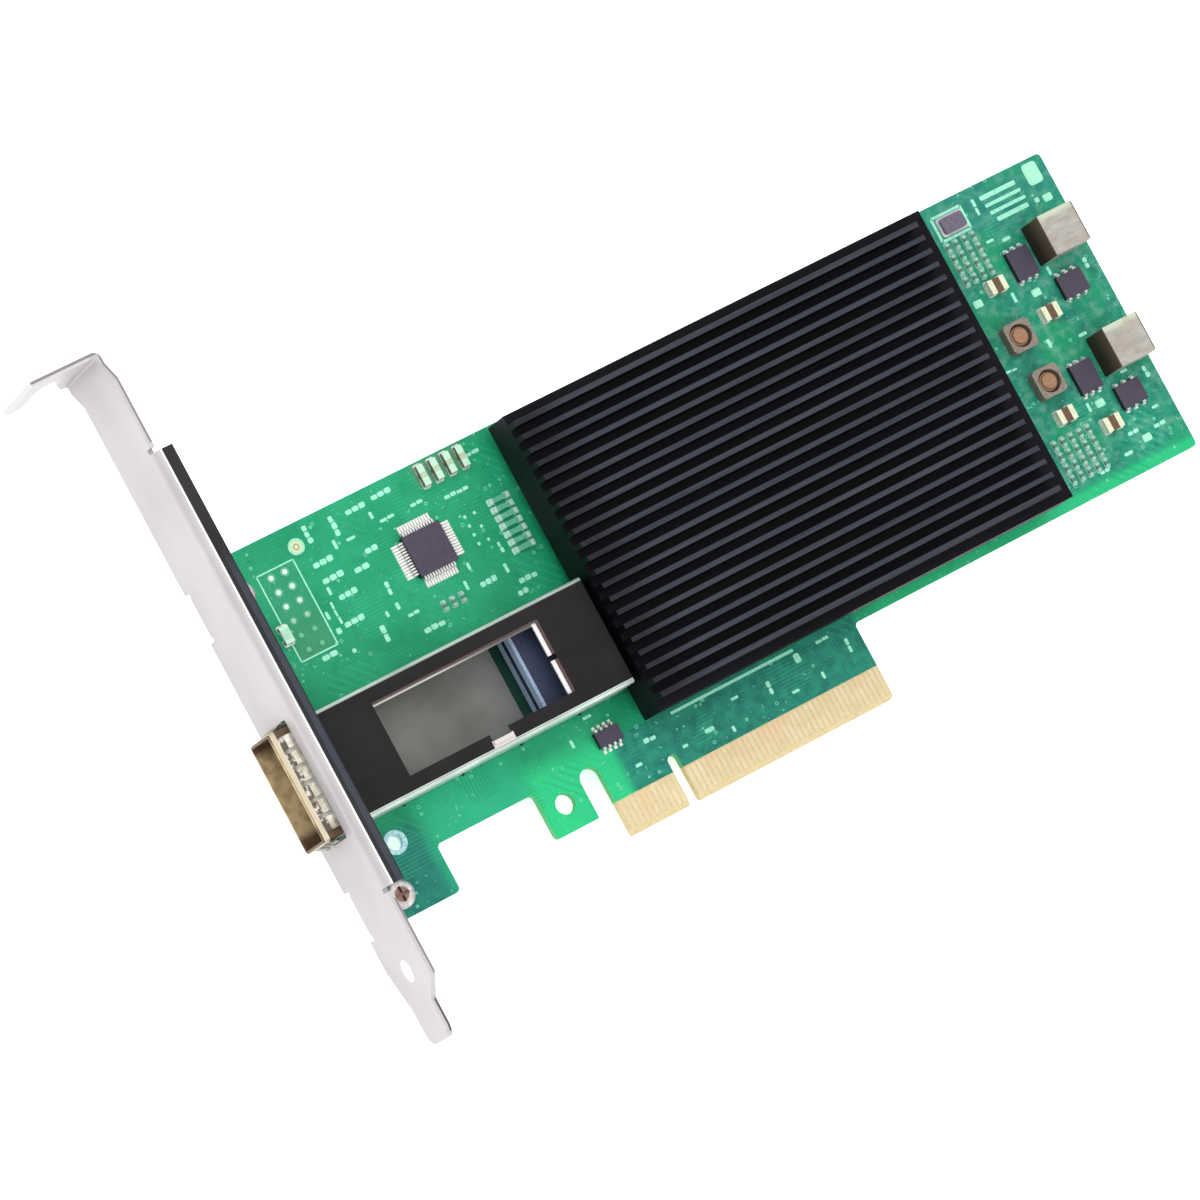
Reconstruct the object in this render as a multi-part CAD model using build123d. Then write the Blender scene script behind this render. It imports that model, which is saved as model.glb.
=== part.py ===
from build123d import *
import os

# Network interface card, lying flat with its component side up. X runs along the board away from the
# bracket, Y runs up the board from the edge connector, and Z points out of the component side. The
# origin lies on the outer face of the bracket, level with the component side of the board and with the
# lower edge of the edge connector. All sizes are in millimetres.

# One overrun serves all cuts, and one running clearance all pins that pass through a hole
OVERRUN = 1.0
PIN_CLEARANCE = 0.05

# Circuit board
BOARD_START = 1.6
BOARD_LENGTH = 166.1
BOARD_HEIGHT = 68.9
BOARD_THICKNESS = 1.57
BOARD_CORNER = 0.8
LOWER_EDGE = 13.7
FOOT_WIDTH = 14.8
FOOT_BOTTOM = 5.0
RECESS_WIDTH = 18.4
RECESS_EDGE = 13.2
HOOK_WIDTH = 8.0
HOOK_BOTTOM = 5.0
HOOK_HOLE_RADIUS = 1.7
HOOK_HOLE_RISE = 4.5
SLOT_WIDTH = 3.65
SLOT_TOP = 13.0
TONGUE_LENGTH = 51.3
KEY_FROM_START = 12.15
KEY_WIDTH = 1.9
KEY_TOP = 8.6
BEVEL_DEPTH = 0.45
BEVEL_RISE = 0.9

BOARD_END = BOARD_START + BOARD_LENGTH
FOOT_END = BOARD_START + FOOT_WIDTH
HOOK_START = FOOT_END + RECESS_WIDTH
HOOK_END = HOOK_START + HOOK_WIDTH
TONGUE_START = HOOK_END + SLOT_WIDTH
TONGUE_END = TONGUE_START + TONGUE_LENGTH
KEY_CENTRE = TONGUE_START + KEY_FROM_START
SLOT_CENTRE = HOOK_END + SLOT_WIDTH / 2
UNDERSIDE = -BOARD_THICKNESS

# Contacts of the edge connector
CONTACT_PITCH = 1.0
CONTACT_WIDTH = 0.7
CONTACT_LENGTH = 4.8
CONTACT_START = 1.0
CONTACT_THICKNESS = 0.05
KEY_CONTACT_GAP = 3.0
SHORT_SIDE_COUNT = 11
LONG_SIDE_COUNT = 38

# Bracket, one folded sheet
SHEET = 0.9
FOLD_RADIUS = 0.5
FOLD_RUN = 0.3
RELIEF = 0.8
BRACKET_TOP = 105.5
BRACKET_TIP = -14.5
BRACKET_LOW = -3.1
BRACKET_WIDTH = 18.42
BRACKET_CORNER = 0.8
TOE_WIDTH = 10.2
TOE_INSET = 2.6
TOE_CORNER = 2.2
TAPER_END = -8.2
LOW_TAPER_START = -1.0
HIGH_TAPER_START = -4.5
TOE_HOLE_RADIUS = 1.8
TOE_HOLE_Y = -2.4
TOE_HOLE_INSET = 9.3
JOG_START = 99.9
JOG_END = 103.2
JOG_SHIFT = 2.4
TAB_LENGTH = 11.43
SCREW_NOTCH_WIDTH = 4.42
SCREW_NOTCH_FROM_FACE = 6.35
SCREW_NOTCH_DEPTH = 12.9
NOTCH_MOUTH_DEPTH = 7.6
NOTCH_MOUTH_SPREAD = 2.9
FLANGE_DEPTH = 3.6
FLANGE_LOW = 10.5
FLANGE_HIGH = 87.0
EAR_WIDTH = 7.0
EAR_REACH = 10.6
EAR_HOLE_FROM_FACE = 6.9
LOWER_EAR_ABOVE_FOOT = 3.8
UPPER_EAR_BELOW_TOP = 6.9
PORT_GAP = 0.9
PORT_CORNER = 0.6

BRACKET_HIGH = BRACKET_LOW + BRACKET_WIDTH
FOLD_OUTER = FOLD_RADIUS + SHEET
FOLD_LEG = FOLD_OUTER + FOLD_RUN
EAR_LOW = UNDERSIDE - SHEET
TAB_LOW = BRACKET_LOW - JOG_SHIFT
TAB_HIGH = BRACKET_HIGH - JOG_SHIFT
LOWER_EAR_Y = FOOT_BOTTOM + LOWER_EAR_ABOVE_FOOT
UPPER_EAR_Y = BOARD_HEIGHT - UPPER_EAR_BELOW_TOP

# Screws through the board into the ears
BRACKET_SCREW_RADIUS = 1.25
BRACKET_SCREW_HEAD_RADIUS = 2.4
BRACKET_SCREW_HEAD_HEIGHT = 1.5
BRACKET_SCREW_PAST_EAR = 0.5
DRIVE_WIDTH = 0.5
DRIVE_SPAN = 2.6
DRIVE_DEPTH = 0.8
HEAD_ROUNDING = 0.7

# Port cage, a folded box of thin sheet
CAGE_START = -3.4
CAGE_LENGTH = 58.6
CAGE_CENTRE_Y = 30.65
CAGE_WIDTH = 18.9
CAGE_HEIGHT = 10.0
CAGE_SHEET = 0.4
CAGE_ROUNDING = 0.6
FLOOR_GAP_BEFORE_CONNECTOR = 1.8
WINDOW_FROM_NOSE = 17.7
WINDOW_LENGTH = 31.3
WINDOW_LOW_EDGE = 3.1
WINDOW_HIGH_EDGE = 2.9
WINDOW_SIDE_LEDGE = 0.7
WINDOW_REAR_LEDGE = 1.2
WINDOW_LEDGE_DROP = 0.5
REAR_LEDGE_BREAK = 0.9
LATCH_FROM_WINDOW = 14.9
LATCH_LENGTH = 3.6
LATCH_DEPTH = 1.2
LATCH_LIP = 0.7
LATCH_LIP_HEIGHT = 0.35
SIDE_SLOT_LENGTH = 3.0
SIDE_SLOT_HEIGHT = 1.4
SIDE_SLOT_RISE = 6.4
SIDE_SLOT_COUNT = 5
CAGE_PIN_COUNT = 5
CAGE_PIN_LENGTH = 0.8
CAGE_PIN_REACH = 1.0
CAGE_PIN_INSET = 7.0

CAGE_END = CAGE_START + CAGE_LENGTH
CAGE_LOW = CAGE_CENTRE_Y - CAGE_WIDTH / 2
CAGE_HIGH = CAGE_CENTRE_Y + CAGE_WIDTH / 2
WINDOW_START = CAGE_START + WINDOW_FROM_NOSE
WINDOW_END = WINDOW_START + WINDOW_LENGTH
WINDOW_LOW = CAGE_LOW + WINDOW_LOW_EDGE
WINDOW_HIGH = CAGE_HIGH - WINDOW_HIGH_EDGE
LATCH_START = WINDOW_START + LATCH_FROM_WINDOW

# Spring collar round the nose of the cage
COLLAR_SHEET = 0.18
COLLAR_FROM_NOSE = 0.2
COLLAR_BAND = 0.9
COLLAR_CREST_X = -0.6
COLLAR_CREST_RISE = 0.85
COLLAR_TAIL_X = 0.7
COLLAR_TAIL_RISE = 0.55
FINGER_PITCH = 2.85
FINGER_WIDTH = 2.15
WIDE_FINGER_COUNT = 6
NARROW_FINGER_COUNT = 3
WIDE_ROW_TURNS = (0, 180)
NARROW_ROW_TURNS = (90, -90)

# Port connector inside the cage
CONNECTOR_LENGTH = 11.8
CONNECTOR_BEHIND = 1.8
CONNECTOR_SIDE_GAP = 0.45
CONNECTOR_TOP = 6.0
CONNECTOR_STANDOFF = 0.3
MOUTH_DEPTH = 5.0
MOUTH_CHEEK = 0.9
MOUTH_LOW = 2.2
MOUTH_HEIGHT = 1.4
CONNECTOR_CHAMFER = 0.4
PEG_RADIUS = 0.6
PEG_REACH = 1.3
PEG_INSET = 1.6
PORT_CONTACT_PITCH = 0.8
PORT_CONTACT_WIDTH = 0.35
PORT_CONTACT_SHEET = 0.2
PORT_CONTACT_TIP_INSET = 0.8
UPPER_TAIL_REACH = 1.2
LOWER_TAIL_REACH = 1.4

CONNECTOR_END = CAGE_END - CAGE_SHEET - CONNECTOR_BEHIND
CONNECTOR_START = CONNECTOR_END - CONNECTOR_LENGTH
CONNECTOR_WIDTH = CAGE_WIDTH - 2 * (CAGE_SHEET + CONNECTOR_SIDE_GAP)
MOUTH_WIDTH = CONNECTOR_WIDTH - 2 * MOUTH_CHEEK
PORT_CONTACT_COUNT = 1 + int((MOUTH_WIDTH - PORT_CONTACT_WIDTH) / PORT_CONTACT_PITCH)
CAGE_FLOOR_END = CONNECTOR_START - FLOOR_GAP_BEFORE_CONNECTOR

# Heat sink, one piece with fins along the board
SINK_BEHIND_CAGE = 1.1
POWER_FIELD_LENGTH = 29.9
SINK_ABOVE_EDGE = 1.5
SINK_BELOW_TOP = 0.7
SINK_UNDERSIDE = 3.0
SINK_BASE = 8.0
SINK_TOP = 14.3
FIN_PITCH = 2.43
FIN_LEDGE = 1.6
FIN_END_LEDGE = 2.8
FIN_THICKNESS = 1.0
FIN_TIP_ROUNDING = 0.25
BOSS_RADIUS = 2.8
BOSS_INSET = 7.0
SINK_SCREW_RADIUS = 1.2
SINK_SCREW_HEAD_RADIUS = 2.3
SINK_SCREW_HEAD_HEIGHT = 1.4
SINK_SCREW_BITE = 4.6
SINK_HOLE_SPARE = 0.6

SINK_START = CAGE_END + SINK_BEHIND_CAGE
SINK_END = BOARD_END - POWER_FIELD_LENGTH
SINK_LENGTH = SINK_END - SINK_START
SINK_LOW = LOWER_EDGE + SINK_ABOVE_EDGE
SINK_HIGH = BOARD_HEIGHT - SINK_BELOW_TOP
SINK_WIDTH = SINK_HIGH - SINK_LOW
FIN_COUNT = 1 + int((SINK_WIDTH - 2 * FIN_LEDGE - FIN_THICKNESS) / FIN_PITCH)
SINK_CENTRE_X = SINK_START + SINK_LENGTH / 2
SINK_CENTRE_Y = SINK_LOW + SINK_WIDTH / 2

# Controller chip under the heat sink
SUBSTRATE_SIDE = 25.0
SUBSTRATE_THICKNESS = 1.1
LID_SIDE = 20.0
LID_THICKNESS = 1.0
BALL_HEIGHT = 0.4
BALL_RADIUS = 0.35
BALL_PITCH = 1.5
BALL_ROW_COUNT = 14
BALL_FACET_COUNT = 8

# Small parts. The port field is the board above the cage, the power field the board beyond the heat
# sink; each centre is given as its share of the length and height of one of them.
MCU_SIDE = 7.0
MCU_THICKNESS = 1.4
MCU_LEAD_COUNT = 12
MCU_LEAD_PITCH = 0.5
MCU_LEAD_WIDTH = 0.3
MCU_LEAD_REACH = 1.6
MCU_PORT_SHARE = (0.675, 0.531)

REGULATOR_LENGTH = 4.4
REGULATOR_WIDTH = 2.6
REGULATOR_THICKNESS = 1.1
REGULATOR_LEAD_COUNT = 4
REGULATOR_LEAD_PITCH = 1.0
REGULATOR_LEAD_WIDTH = 0.45
REGULATOR_LEAD_REACH = 0.9
REGULATOR_PAST_TONGUE = 4.0
REGULATOR_BELOW_CAGE = 5.3

MEMORY_LENGTH = 5.2
MEMORY_WIDTH = 4.0
MEMORY_THICKNESS = 0.8
MEMORY_LEAD_COUNT = 4
MEMORY_LEAD_PITCH = 1.27
MEMORY_LEAD_WIDTH = 0.42
MEMORY_LEAD_REACH = 1.05
MEMORY_PORT_SHARE = (0.428, 0.281)

LEAD_SHEET = 0.15
BODY_STANDOFF = 0.1
FOUR_SIDE_TURNS = (0, 90, 180, 270)
TWO_SIDE_TURNS = (90, 270)

POWER_INDUCTOR_SIDE = 7.1
POWER_INDUCTOR_WIDTH = 7.2
POWER_INDUCTOR_HEIGHT = 7.0
STRAP_SHEET = 0.3
STRAP_WIDTH = 6.7
STRAP_FOOT = 1.0
POWER_INDUCTOR_ROUNDING = 0.35
POWER_INDUCTOR_SHARES = ((0.794, 0.803), (0.82, 0.495))

FILTER_INDUCTOR_LENGTH = 4.9
FILTER_INDUCTOR_WIDTH = 5.1
FILTER_INDUCTOR_HEIGHT = 2.2
FILTER_INDUCTOR_FLOOR = 0.4
FILTER_INDUCTOR_BORE = 2.0
FILTER_INDUCTOR_CORNER = 0.8
WINDING_RADIUS = 1.8
WINDING_HEIGHT = 1.2
WINDING_ROUNDING = 0.35
DRUM_RADIUS = 0.95
DRUM_HEAD_RADIUS = 1.25
DRUM_HEAD_THICKNESS = 0.35
FILTER_INDUCTOR_SHARES = ((0.331, 0.624), (0.354, 0.496))

SWITCH_THICKNESS = 1.1
SWITCH_LEAD_COUNT = 3
SWITCH_LEAD_WIDTH = 0.6
SWITCH_LEAD_REACH = 0.6
TALL_SWITCH = (4.2, 5.2)
SQUARE_SWITCH = (4.8, 4.0)
TALL_SWITCH_SHARES = ((0.571, 0.778), (0.581, 0.467))
SQUARE_SWITCH_SHARES = ((0.784, 0.681), (0.777, 0.382))

ROW_CAPACITOR = (1.15, 3.6, 1.2, 1.3)
ROW_CAPACITOR_COUNT = 4
ROW_CAPACITOR_PITCH = 2.47
ROW_CAPACITOR_PORT_SHARE = (0.768, 0.912)

SUPPLY_CAPACITOR = (3.2, 2.5, 1.3, 0.95)
SUPPLY_CAPACITOR_SHARES = ((0.371, 0.758), (0.583, 0.643), (0.593, 0.338), (0.366, 0.406))

BYPASS_CAPACITOR = (0.7, 1.3, 0.5, 0.35)
BYPASS_PITCH_X = 1.7
BYPASS_PITCH_Y = 2.1
BYPASS_POWER_SHARES = ((0.223, 0.352), (0.226, 0.89))
BYPASS_POWER_COUNTS = ((5, 4), (4, 4))
BYPASS_PORT_SHARES = ((0.64, 0.212),)
BYPASS_PORT_COUNTS = ((3, 1),)

STACK_RESISTOR = (3.6, 0.85, 0.5, 0.6)
STACK_RESISTOR_COUNT = 7
STACK_RESISTOR_PITCH = 1.45
STACK_RESISTOR_PORT_SHARE = (0.946, 0.309)

LAMP = (1.6, 2.9, 1.0, 0.6)
LAMP_PORT_SHARE = (0.164, 0.462)

CRYSTAL_LENGTH = 5.0
CRYSTAL_WIDTH = 3.4
CRYSTAL_BASE_HEIGHT = 0.5
CRYSTAL_CAN_HEIGHT = 0.8
CRYSTAL_CAN_INSET = 0.35
CRYSTAL_CORNER = 0.5
CRYSTAL_POWER_SHARE = (0.315, 0.94)

BACK_CAPACITOR = (1.0, 0.5, 0.5, 0.25)
BACK_CAPACITOR_PITCH = 2.4
BACK_CAPACITOR_ROW_COUNT = 6

# Plated rings: hole radius and land radius of each kind
HEADER_RING = (0.45, 0.75)
HEADER_PITCH = 2.54
HEADER_COLUMN_COUNT = 2
HEADER_ROW_COUNT = 6
HEADER_PORT_SHARE = (0.208, 0.778)
TOP_RING = (0.4, 1.4)
TOP_RING_PORT_SHARE = (0.322, 0.872)
FOOT_RING = (1.3, 2.0)
FOOT_RING_INSET = 8.9
FOOT_RING_RISE = 11.5
RING_WALL = 0.1
LAND_THICKNESS = 0.05


def port_field(share):
    """The place in the port field at a share of its length and height."""
    return (BOARD_START + share[0] * (SINK_START - BOARD_START),
            CAGE_HIGH + share[1] * (BOARD_HEIGHT - CAGE_HIGH))


def power_field(share):
    """The place in the power field at a share of its length and height."""
    return (SINK_END + share[0] * POWER_FIELD_LENGTH, share[1] * BOARD_HEIGHT)


def block(x0, x1, y0, y1, z0, z1):
    """A box between two opposite corners."""
    return Pos((x0 + x1) / 2, (y0 + y1) / 2, (z0 + z1) / 2) * Box(x1 - x0, y1 - y0, z1 - z0)


def post(x, y, radius, z0, z1):
    """A round post along Z."""
    return Pos(x, y, (z0 + z1) / 2) * Cylinder(radius, z1 - z0)


def prism_x(outline, x0, x1):
    """An outline in Y and Z, carried along X."""
    face = make_face(Polyline(*outline, close=True))
    return extrude(Plane.YZ.offset(x0) * face, x1 - x0, dir=(1, 0, 0))


def prism_y(outline, y0, y1):
    """An outline in X and Z, carried along Y."""
    face = make_face(Polyline(*outline, close=True))
    plane = Plane(origin=(0, y0, 0), x_dir=(1, 0, 0), z_dir=(0, -1, 0))
    return extrude(plane * face, y1 - y0, dir=(0, 1, 0))


def group(pieces):
    """Separate pieces that share one node."""
    return Compound(children=pieces)


def corner_near(face, point):
    """The corner of a face that lies nearest a point."""
    return face.vertices().sort_by_distance((point[0], point[1], 0))[0]


def fold(leg_x, leg_y):
    """Section of a right-angled fold: outer corner at the origin, legs along X and Y."""
    outline = [(0, 0), (leg_x, 0), (leg_x, SHEET), (SHEET, SHEET), (SHEET, leg_y), (0, leg_y)]
    face = make_face(Polyline(*outline, close=True))
    face = fillet(corner_near(face, (SHEET, SHEET)), FOLD_RADIUS)
    return fillet(corner_near(face, (0, 0)), FOLD_OUTER)


# Circuit board

def notch(centre, width, top):
    """A round-topped notch cut up from the lower edge of the board."""
    radius = width / 2
    low = UNDERSIDE - OVERRUN
    straight = block(centre - radius, centre + radius, -OVERRUN, top - radius, low, OVERRUN)
    return straight + post(centre, top - radius, radius, low, OVERRUN)


def bevels():
    """The wedges that bevel the lower edge of the tongue on both faces."""
    front = [(0, -BEVEL_DEPTH), (BEVEL_RISE, 0), (BEVEL_RISE, OVERRUN), (-OVERRUN, OVERRUN),
             (-OVERRUN, -BEVEL_DEPTH)]
    back = [(y, UNDERSIDE - z) for y, z in front]
    ends = (SLOT_CENTRE, TONGUE_END + OVERRUN)
    return [prism_x(front, *ends), prism_x(back, *ends)]


def ear_places():
    return [(EAR_HOLE_FROM_FACE, LOWER_EAR_Y), (EAR_HOLE_FROM_FACE, UPPER_EAR_Y)]


def boss_places():
    return [(x, y) for x in (SINK_START + BOSS_INSET, SINK_END - BOSS_INSET)
            for y in (SINK_LOW + BOSS_INSET, SINK_HIGH - BOSS_INSET)]


def cage_pin_places():
    run = CAGE_END - CAGE_START - 2 * CAGE_PIN_INSET
    step = run / (CAGE_PIN_COUNT - 1)
    half = CAGE_WIDTH / 2 - CAGE_SHEET / 2
    return [(CAGE_START + CAGE_PIN_INSET + i * step, CAGE_CENTRE_Y + side * half)
            for i in range(CAGE_PIN_COUNT) for side in (-1, 1)]


def peg_places():
    half = CONNECTOR_WIDTH / 2 - PEG_INSET
    return [(CONNECTOR_START + PEG_INSET, CAGE_CENTRE_Y + side * half) for side in (-1, 1)]


def ring_places():
    """Each plated ring as a place, the radius of its hole and the radius of its land."""
    first = port_field(HEADER_PORT_SHARE)
    rings = [(first[0] + i * HEADER_PITCH, first[1] - j * HEADER_PITCH, *HEADER_RING)
             for i in range(HEADER_COLUMN_COUNT) for j in range(HEADER_ROW_COUNT)]
    rings.append((*port_field(TOP_RING_PORT_SHARE), *TOP_RING))
    rings.append((BOARD_START + FOOT_RING_INSET, FOOT_BOTTOM + FOOT_RING_RISE, *FOOT_RING))
    return rings


def board_holes():
    """Place and radius of every hole through the board."""
    pin_half = (CAGE_SHEET ** 2 + CAGE_PIN_LENGTH ** 2) ** 0.5 / 2
    holes = [(HOOK_START + HOOK_WIDTH / 2, HOOK_BOTTOM + HOOK_HOLE_RISE, HOOK_HOLE_RADIUS)]
    holes += [(x, y, BRACKET_SCREW_RADIUS + PIN_CLEARANCE) for x, y in ear_places()]
    holes += [(x, y, SINK_SCREW_RADIUS + PIN_CLEARANCE) for x, y in boss_places()]
    holes += [(x, y, pin_half + PIN_CLEARANCE) for x, y in cage_pin_places()]
    holes += [(x, y, PEG_RADIUS + PIN_CLEARANCE) for x, y in peg_places()]
    holes += [(x, y, hole + RING_WALL) for x, y, hole, land in ring_places()]
    return holes


def circuit_board():
    outline = [
        (BOARD_START, FOOT_BOTTOM), (FOOT_END, FOOT_BOTTOM), (FOOT_END, RECESS_EDGE),
        (HOOK_START, RECESS_EDGE), (HOOK_START, HOOK_BOTTOM), (SLOT_CENTRE, HOOK_BOTTOM),
        (SLOT_CENTRE, 0), (TONGUE_END, 0), (TONGUE_END, LOWER_EDGE), (BOARD_END, LOWER_EDGE),
        (BOARD_END, BOARD_HEIGHT), (BOARD_START, BOARD_HEIGHT)]
    face = make_face(Polyline(*outline, close=True))
    face = fillet(face.vertices(), BOARD_CORNER)
    board = extrude(Pos(0, 0, UNDERSIDE) * face, BOARD_THICKNESS, dir=(0, 0, 1))
    cuts = [notch(SLOT_CENTRE, SLOT_WIDTH, SLOT_TOP), notch(KEY_CENTRE, KEY_WIDTH, KEY_TOP)]
    cuts += bevels()
    low = UNDERSIDE - OVERRUN
    cuts += [post(x, y, radius, low, OVERRUN) for x, y, radius in board_holes()]
    return board - cuts


def edge_contacts(z0, z1):
    half_gap = KEY_CONTACT_GAP / 2
    centres = [KEY_CENTRE - half_gap - i * CONTACT_PITCH for i in range(SHORT_SIDE_COUNT)]
    centres += [KEY_CENTRE + half_gap + i * CONTACT_PITCH for i in range(LONG_SIDE_COUNT)]
    half = CONTACT_WIDTH / 2
    end = CONTACT_START + CONTACT_LENGTH
    return group([block(x - half, x + half, CONTACT_START, end, z0, z1) for x in centres])


def plated_ring(x, y, hole, land):
    """A plated hole: a thin wall through the board and a land on each face."""
    wall = hole + RING_WALL
    top = LAND_THICKNESS
    low = UNDERSIDE - LAND_THICKNESS
    ring = post(x, y, wall, low, top) + post(x, y, land, 0, top) + post(x, y, land, low, UNDERSIDE)
    return ring - post(x, y, hole, low - OVERRUN, top + OVERRUN)


# Bracket

def bracket_sheet():
    """The flat of the bracket, before its folds are added."""
    toe_low = BRACKET_LOW + TOE_INSET
    toe_high = toe_low + TOE_WIDTH
    tip = [(BRACKET_TIP, toe_low), (BRACKET_TIP, toe_high)]
    soft = [(TAPER_END, toe_high), (HIGH_TAPER_START, BRACKET_HIGH), (JOG_START, BRACKET_HIGH)]
    top = [(JOG_END, TAB_HIGH), (JOG_END, TAB_LOW)]
    low_side = [(JOG_START, BRACKET_LOW), (LOW_TAPER_START, BRACKET_LOW), (TAPER_END, toe_low)]
    face = make_face(Polyline(*tip, *soft, *top, *low_side, close=True))
    for point in tip:
        face = fillet(corner_near(face, point), TOE_CORNER)
    for point in soft + low_side:
        face = fillet(corner_near(face, point), BRACKET_CORNER)
    return extrude(Plane.YZ * face, SHEET, dir=(1, 0, 0))


def port_opening():
    half = CAGE_WIDTH / 2 + PORT_GAP
    tall = CAGE_HEIGHT + 2 * PORT_GAP
    cutter = Box(SHEET + 2 * OVERRUN, 2 * half, tall)
    cutter = fillet(cutter.edges().filter_by(Axis.X), PORT_CORNER)
    return Pos(SHEET / 2, CAGE_CENTRE_Y, CAGE_HEIGHT / 2) * cutter


def screw_notch():
    """The round-ended notch in the tab, with its spread mouth."""
    radius = SCREW_NOTCH_WIDTH / 2
    end = TAB_LOW + SCREW_NOTCH_DEPTH - radius
    near = radius - SCREW_NOTCH_FROM_FACE
    y0 = BRACKET_TOP - SHEET - OVERRUN
    y1 = BRACKET_TOP + OVERRUN
    straight = block(near - SCREW_NOTCH_WIDTH, near, y0, y1, TAB_LOW - OVERRUN, end)
    round_end = Pos(-SCREW_NOTCH_FROM_FACE, (y0 + y1) / 2, end) * Rot(90, 0, 0) * Cylinder(radius, y1 - y0)
    mouth = [(near, TAB_LOW), (near + NOTCH_MOUTH_SPREAD, TAB_LOW), (near, TAB_LOW + NOTCH_MOUTH_DEPTH)]
    return [straight, round_end, prism_y(mouth, y0, y1)]


def bracket():
    sheet = bracket_sheet()
    flange_seat = BRACKET_HIGH - FOLD_LEG
    ear_seat = EAR_LOW + FOLD_LEG
    cuts = [block(-OVERRUN, SHEET + OVERRUN, FLANGE_LOW - RELIEF, FLANGE_HIGH + RELIEF,
                  flange_seat, BRACKET_HIGH + OVERRUN)]
    for x, y in ear_places():
        half = EAR_WIDTH / 2 + RELIEF
        cuts.append(block(-OVERRUN, SHEET + OVERRUN, y - half, y + half, BRACKET_LOW - OVERRUN, ear_seat))
    sheet = sheet - cuts
    flange_plane = Plane(origin=(0, FLANGE_LOW, BRACKET_HIGH), x_dir=(1, 0, 0), z_dir=(0, 1, 0))
    sheet += extrude(flange_plane * fold(FLANGE_DEPTH, FOLD_LEG), FLANGE_HIGH - FLANGE_LOW)
    for x, y in ear_places():
        plane = Plane(origin=(0, y + EAR_WIDTH / 2, EAR_LOW), x_dir=(1, 0, 0), z_dir=(0, -1, 0))
        sheet += extrude(plane * fold(EAR_REACH, FOLD_LEG), EAR_WIDTH)
    tab_plane = Plane(origin=(SHEET, BRACKET_TOP, TAB_LOW), x_dir=(-1, 0, 0), z_dir=(0, 0, 1))
    sheet += extrude(tab_plane * fold(TAB_LENGTH + SHEET, BRACKET_TOP - JOG_END), BRACKET_WIDTH)
    holes = [post(x, y, BRACKET_SCREW_RADIUS + PIN_CLEARANCE, EAR_LOW - OVERRUN, UNDERSIDE + OVERRUN)
             for x, y in ear_places()]
    toe_hole = Rot(0, 90, 0) * Cylinder(TOE_HOLE_RADIUS, 2 * (SHEET + OVERRUN))
    holes.append(Pos(0, TOE_HOLE_Y, BRACKET_LOW + TOE_HOLE_INSET) * toe_hole)
    return sheet - holes - screw_notch() - port_opening()


def cross_recess(x, y, top, span):
    """A cross-shaped drive recess, sunk from a head's top."""
    half = DRIVE_WIDTH / 2
    reach = span / 2
    low = top - DRIVE_DEPTH
    return (block(x - reach, x + reach, y - half, y + half, low, top + OVERRUN)
            + block(x - half, x + half, y - reach, y + reach, low, top + OVERRUN))


def bracket_screw(x, y):
    top = BRACKET_SCREW_HEAD_HEIGHT
    head = Cylinder(BRACKET_SCREW_HEAD_RADIUS, top)
    head = Pos(x, y, top / 2) * fillet(head.edges().sort_by(Axis.Z)[-1], HEAD_ROUNDING)
    shank = post(x, y, BRACKET_SCREW_RADIUS, EAR_LOW - BRACKET_SCREW_PAST_EAR, 0)
    return head + shank - cross_recess(x, y, top, DRIVE_SPAN)


# Port

def side_slots():
    """The small slots along both side walls of the cage."""
    step = (CAGE_END - CAGE_START) / (SIDE_SLOT_COUNT + 1)
    slots = []
    for i in range(SIDE_SLOT_COUNT):
        x = CAGE_START + (i + 1) * step
        slots.append(block(x - SIDE_SLOT_LENGTH / 2, x + SIDE_SLOT_LENGTH / 2, CAGE_LOW - OVERRUN,
                           CAGE_HIGH + OVERRUN, SIDE_SLOT_RISE, SIDE_SLOT_RISE + SIDE_SLOT_HEIGHT))
    return slots


def window_ledges():
    """The folded-in edges of the window, a little below the top."""
    top = CAGE_HEIGHT - WINDOW_LEDGE_DROP
    low = top - CAGE_SHEET
    fold_z = CAGE_HEIGHT - CAGE_SHEET / 2
    ledges = [block(WINDOW_START, WINDOW_END, WINDOW_HIGH - WINDOW_SIDE_LEDGE, WINDOW_HIGH, low, top)]
    ledges.append(block(WINDOW_START, WINDOW_END, WINDOW_HIGH - CAGE_SHEET, WINDOW_HIGH, low, fold_z))
    for side in (-1, 1):
        near = CAGE_CENTRE_Y + side * REAR_LEDGE_BREAK / 2
        far = WINDOW_LOW if side < 0 else WINDOW_HIGH
        y0, y1 = min(near, far), max(near, far)
        ledges.append(block(WINDOW_END - WINDOW_REAR_LEDGE, WINDOW_END, y0, y1, low, top))
        ledges.append(block(WINDOW_END - CAGE_SHEET, WINDOW_END, y0, y1, low, fold_z))
    return ledges


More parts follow.
